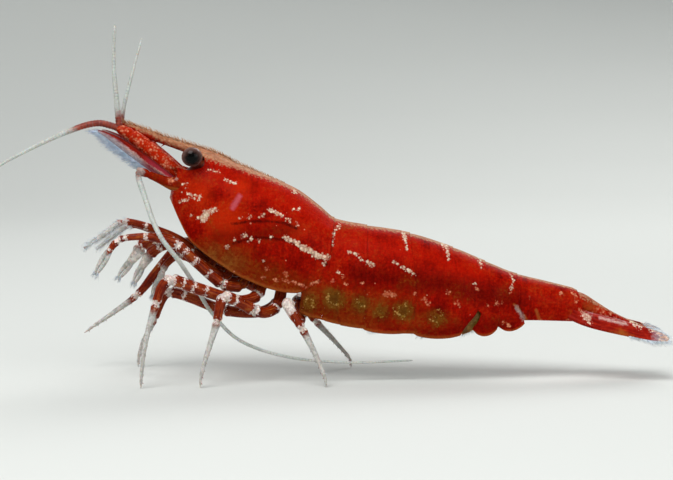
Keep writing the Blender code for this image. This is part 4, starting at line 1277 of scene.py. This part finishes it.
buildPair("antennule_peduncle", makePeduncle, "shell", paintPeduncle)
buildPair("antenna_root", lambda: makeStalk(antennaRoot), "shell", paintRoot)
buildPair("antenna_scale", lambda: makeBlade(antennaScale), "blade", paintScale)
for side, sign in sides:
    tufts = [fringeOf(antennaScale, sign, *antennaScale["fringe"])]
    finishHairs("scale_bristles_%s" % side, tufts, "fringe", stray=0.03, radius=0.027)
print("antennae built")


# ---- mouthparts: three pairs of leaves laid over one another in the front of the body, the rearmost last

mouth = {
    "leaves": [((3.5, 0.75, 8.95), (3.3, 0.45, 8.5), (3.4, 0.14, 8.0)),
               ((3.95, 0.9, 8.3), (3.7, 0.55, 7.75), (3.85, 0.15, 7.3)),
               ((4.4, 0.9, 7.55), (4.2, 0.55, 7.05), (4.4, 0.15, 6.65))],
    "width": 0.3, "thick": 0.08, "fringe": (0.3, 0.16, 60), "facing": (-0.8, 0.0, -0.6),
}


def mouthLeaf(places):
    start, middle, end = places
    half, thick = mouth["width"], mouth["thick"]
    points = [(*start, half * 0.6, thick), (*middle, half, thick), (*end, half * 0.35, thick * 0.6)]
    return evenBlade(points, facing=mouth["facing"])


def makeMouth():
    bm = bmesh.new()
    for places in mouth["leaves"]:
        join(bm, makeBlade(mouthLeaf(places), 24))
    return bm


def paintMouth(spots, run, turn):
    return {"pale": -0.14, "clear": (run - 1.1) * 0.8}


for side, sign in sides:
    finishPiece("mouth_leaves_%s" % side, onSide(makeMouth, sign), "limb", (), paintMouth)
    tufts = [fringeOf(mouthLeaf(places), sign, *mouth["fringe"], (1, -1)) for places in mouth["leaves"]]
    finishHairs("mouth_bristles_%s" % side, tufts, "hair", stray=0.01, radius=0.013)
print("mouthparts built")


# ---- swimming legs, tucked between the side lobes of the rings

swimmer = {
    "height": 1.5, "above": [0.35, 0.1, 0.1, 0.1, 0.1], "inset": 0.3,      # from the hem of the rings
    "half": 0.3, "apart": 0.45, "ahead": 0.2, "facing": (0.1, -1.0, -0.1),
    "fringe": (0.45, 0.2, 50),
}


def swimmerParts(number):                    # stalk and two leaves, swept forward under the belly
    joints = abdomen["joints"]
    middle = (joints[number - 1] + joints[number]) / 2 + 0.15
    foot = middle + float(onCurve(trunk["lean"], middle))
    floor = float(onCurve(trunk["hem"], middle)) - abdomen["lobes"][number - 1]
    high, low = floor + swimmer["height"], floor + swimmer["above"][number - 1]
    wide = float(onCurve(trunk["girth"], middle)) - swimmer["inset"]
    leaves = []
    for apart, ahead in ((wide - swimmer["apart"], swimmer["ahead"]), (wide, 0.0)):
        points = [(foot + 0.15, apart * 0.8, high - 0.1, 0.1, 0.07),
                  (foot - 0.2 - ahead, apart, high - 0.5, swimmer["half"], 0.05),
                  (foot - 0.75 - ahead, apart, low + 0.4, swimmer["half"], 0.04),
                  (foot - 1.1 - ahead, apart, low + 0.05, 0.1, 0.03)]
        leaves.append(evenBlade(points, facing=swimmer["facing"]))
    stalkPoints = [(foot + 0.35, 0.5, high + 0.2, 0.2), (foot + 0.3, wide * 0.6, high - 0.05, 0.2),
                   (foot + 0.1, wide * 0.75, high - 0.3, 0.12)]
    return stalkPoints, leaves


swimmerHairs = {"left": [], "right": []}
for number in range(1, 6):
    stalkPoints, leaves = swimmerParts(number)

    def makeSwimmer():
        bm = makeTube(stalkPoints, 0.05, 14)
        for leaf in leaves:
            join(bm, makeBlade(leaf, 24))
        return bm
    buildPair("pleopod_%d" % number, makeSwimmer, "swimmer")
    for side, sign in sides:
        swimmerHairs[side] += [fringeOf(leaf, sign, *swimmer["fringe"], (1, -1)) for leaf in leaves]
for side, tufts in swimmerHairs.items():
    finishHairs("pleopod_bristles_%s" % side, tufts, "hair", stray=0.01, radius=0.012)
print("swimming legs built")


# ---- tail fan: the telson over two pairs of blades

telson = {
    # X, Z of the middle, half height, half width
    "points": [(22.6, 3.95, 0.5, 0.74), (23.2, 3.77, 0.53, 0.64), (23.8, 3.43, 0.5, 0.54),
               (24.8, 2.98, 0.36, 0.42), (26.0, 2.52, 0.27, 0.34), (26.9, 2.24, 0.19, 0.25),
               (27.1, 2.18, 0.08, 0.14)],
    "spines": 5, "spinesFrom": 0.35, "spinesApart": 0.13,      # as shares of its length
    "spine": (0.2, 0.03), "endSpines": 6, "endWide": 0.14, "endRadius": 0.028,
}
# X, distance from the middle, Z, half width and half thickness
tailBlades = {
    "uropod_endopod": evenBlade(
        [(22.7, 0.42, 3.52, 0.3, 0.22), (23.3, 0.54, 3.28, 0.34, 0.16), (24.2, 0.7, 3.0, 0.4, 0.1),
         (25.6, 0.8, 2.6, 0.42, 0.07), (26.6, 0.8, 2.34, 0.34, 0.05), (27.1, 0.77, 2.22, 0.2, 0.04),
         (27.25, 0.76, 2.19, 0.05, 0.02)], facing=(0.2, -0.7, 0.7), camber=0.12),
    "uropod_exopod": evenBlade(
        [(22.7, 0.6, 3.4, 0.4, 0.22), (23.35, 0.88, 3.14, 0.42, 0.16), (24.2, 1.15, 2.92, 0.43, 0.1),
         (25.8, 1.42, 2.54, 0.37, 0.07), (26.9, 1.45, 2.28, 0.29, 0.05), (27.35, 1.42, 2.16, 0.17, 0.04),
         (27.5, 1.4, 2.12, 0.05, 0.02)], facing=(0.2, -0.86, 0.48), camber=0.12),
}
telsonRoute = smoothRoute([(x, 0, z, tall, half) for x, z, tall, half in telson["points"]], 0.06)


def telsonSection(row, angle):               # arched above, nearly flat below
    tall, half = telsonRoute[row, 3], telsonRoute[row, 4]
    up = np.sin(angle)
    return half * np.cos(angle), np.where(up > 0, tall * up, tall * 0.9 * up)


def paintTail(spots, run, turn):
    x, y, z = spots.T
    flank = spots[:, [0, 2]]
    slope = onCurve([(22.8, 4.2), (27.1, 2.3)], x)      # below this the telson has no cream
    marks = [(0.14, [(23.35, 3.3), (23.55, 3.05)]), (0.06, [(25.8, 2.85), (26.1, 2.75)]),
             (0.07, [(26.6, 2.6), (27.1, 2.4)])]
    dots = [(23.8, 3.35, .07), (24.05, 3.52, .07), (24.2, 3.25, .07), (24.35, 3.42, .08), (24.5, 2.7, .06),
            (24.5, 3.2, .07), (24.75, 3.28, .06), (25.0, 3.1, .06), (25.2, 2.6, .06), (26.0, 2.4, .07)]
    return {"pale": np.maximum(insideStrokes(flank, marks), (x - 27.1) * 0.5),
            "speck": insideDots(flank, dots),
            "stripe": 0.21 - np.abs(y) * 0.5 - 0.25 * (z < slope),
            "clear": np.where(x < 24.5, insideDots(flank, [(23.7, 3.65, 0.2)]), (x - 26.8) * 0.8),
            "glow": insideDots(flank, [(24.3, 3.4, 0.3)]),
            "haze": insideStrokes(flank, [(0.06, [(24.1, 3.15), (25.4, 2.85)])]),
            "orange": 0.35 - np.abs(x - 25.2) * 0.35 - (z - onCurve([(22.8, 2.8), (27.1, 1.7)], x))}


shape = sweep(telsonRoute, 48, telsonSection, facing=(0, 0, 1))
for number in range(telson["spines"]):
    row = round((telson["spinesFrom"] + telson["spinesApart"] * number) * (len(telsonRoute) - 1))
    x, _, z, tall, half = telsonRoute[row]
    long, thick = telson["spine"]
    high = z + tall * 0.75
    for y in (-half * 0.6, half * 0.6):
        spike(shape, (x, y, high), (x + long, y, high), thick)
for y in np.linspace(-telson["endWide"], telson["endWide"], telson["endSpines"]):
    spike(shape, (27.0, y, 2.28), (27.4 - 2 * abs(y), y * 1.5, 2.16), telson["endRadius"])
finishPiece("telson", shape, "shell", ["telson"], paintTail)
tailFringe = ((1, (0.6, 0.5, 170)), (-1, (0.82, 0.36, 60)))      # of the outer and the inner edge
tailHairs = {"left": [], "right": []}
for name, part in tailBlades.items():
    buildPair(name, lambda: makeBlade(part), "blade", paintTail)
    for side, sign in sides:
        tailHairs[side] += [fringeOf(part, sign, *fringe, (edge,), 1.1) for edge, fringe in tailFringe]
for side, tufts in tailHairs.items():
    finishHairs("tail_bristles_%s" % side, tufts, "hair", stray=0.015, radius=0.018)
print("tail fan built")


# ---- stage, lights and camera

stage = {"flat": 130, "rise": 150, "steps": 12, "floor": "cfd1cd", "roughness": 0.9, "specular": 0.1,
         "world": "e6ebf0", "worldStrength": 0.38}
# Soft boxes: place from the middle of the animal, size and power
softBoxes = {"key": ((-50, -95, 165), 120, 0.36), "fill": ((110, -120, 50), 120, 0.08),
             "back": ((60, 130, 120), 110, 0.16)}
shot = {"lens": 100, "sensor": 36, "elevation": 4.5, "distance": 93.94, "target": (10.98, 0, 6.956)}


def buildStage():
    bm = bmesh.new()
    bmesh.ops.create_circle(bm, cap_ends=True, segments=96, radius=stage["flat"])
    rim = [edge for edge in bm.edges if edge.is_boundary]
    for step in range(stage["steps"]):       # the rim curves up into a bowl with no visible corner
        angle = math.pi / 2 * (step + 1) / stage["steps"]
        grown = bmesh.ops.extrude_edge_only(bm, edges=rim)["geom"]
        rim = [item for item in grown if isinstance(item, bmesh.types.BMEdge)]
        reach = stage["flat"] + stage["rise"] * math.sin(angle)
        for vert in {v for edge in rim for v in edge.verts}:
            vert.co = Vector((*(vert.co.xy.normalized() * reach), stage["rise"] * (1 - math.cos(angle))))
    bmesh.ops.translate(bm, verts=bm.verts, vec=shot["target"][:2] + (0,))
    material, tree, shader, inMm = newMaterial("matt_paper")     # rolled paper: no gloss, a faint tooth
    bump = addNode(tree, "Bump", {"Strength": 0.1, "Distance": 0.00005, "Height": noise(tree, inMm, 1.5, 4.0)})
    tree.links.new(bump.outputs[0], shader.inputs["Normal"])
    for socket, value in (("Base Color", hexColour(stage["floor"])), ("Roughness", stage["roughness"]),
                          ("Specular IOR Level", stage["specular"])):
        shader.inputs[socket].default_value = value
    mesh = bpy.data.meshes.new("floor")
    bm.to_mesh(mesh)
    bm.free()
    mesh.transform(toFrame)
    mesh.shade_smooth()
    mesh.materials.append(material)
    floor = bpy.data.objects.new("floor", mesh)
    scene.collection.objects.link(floor)
    world = bpy.data.worlds.new("studio")
    world.use_nodes = True
    world.node_tree.nodes["Background"].inputs["Color"].default_value = hexColour(stage["world"])
    world.node_tree.nodes["Background"].inputs["Strength"].default_value = stage["worldStrength"]
    scene.world = world


def buildLights():
    middle = toFrame @ Vector(shot["target"])
    for name, (place, size, power) in softBoxes.items():
        data = bpy.data.lights.new(name, "AREA")
        data.energy, data.size = power, size / 1000
        lamp = bpy.data.objects.new(name, data)
        lamp.location = middle + Vector(place) / 1000
        lamp.rotation_euler = (middle - lamp.location).to_track_quat("-Z", "Y").to_euler()
        scene.collection.objects.link(lamp)


def buildCamera():
    data = bpy.data.cameras.new("camera")
    data.lens, data.sensor_width = shot["lens"], shot["sensor"]
    data.clip_start, data.clip_end = 0.001, 10.0
    camera = bpy.data.objects.new("camera", data)
    tilt = math.radians(shot["elevation"])
    back = Vector((0, -math.cos(tilt), math.sin(tilt))) * shot["distance"]
    camera.location = toFrame @ (Vector(shot["target"]) + back)
    camera.rotation_euler = (math.pi / 2 - tilt, 0, 0)
    scene.collection.objects.link(camera)
    scene.camera = camera


buildStage()
buildLights()
buildCamera()
scene.view_settings.view_transform = "Standard"
print("stage, lights and camera set")
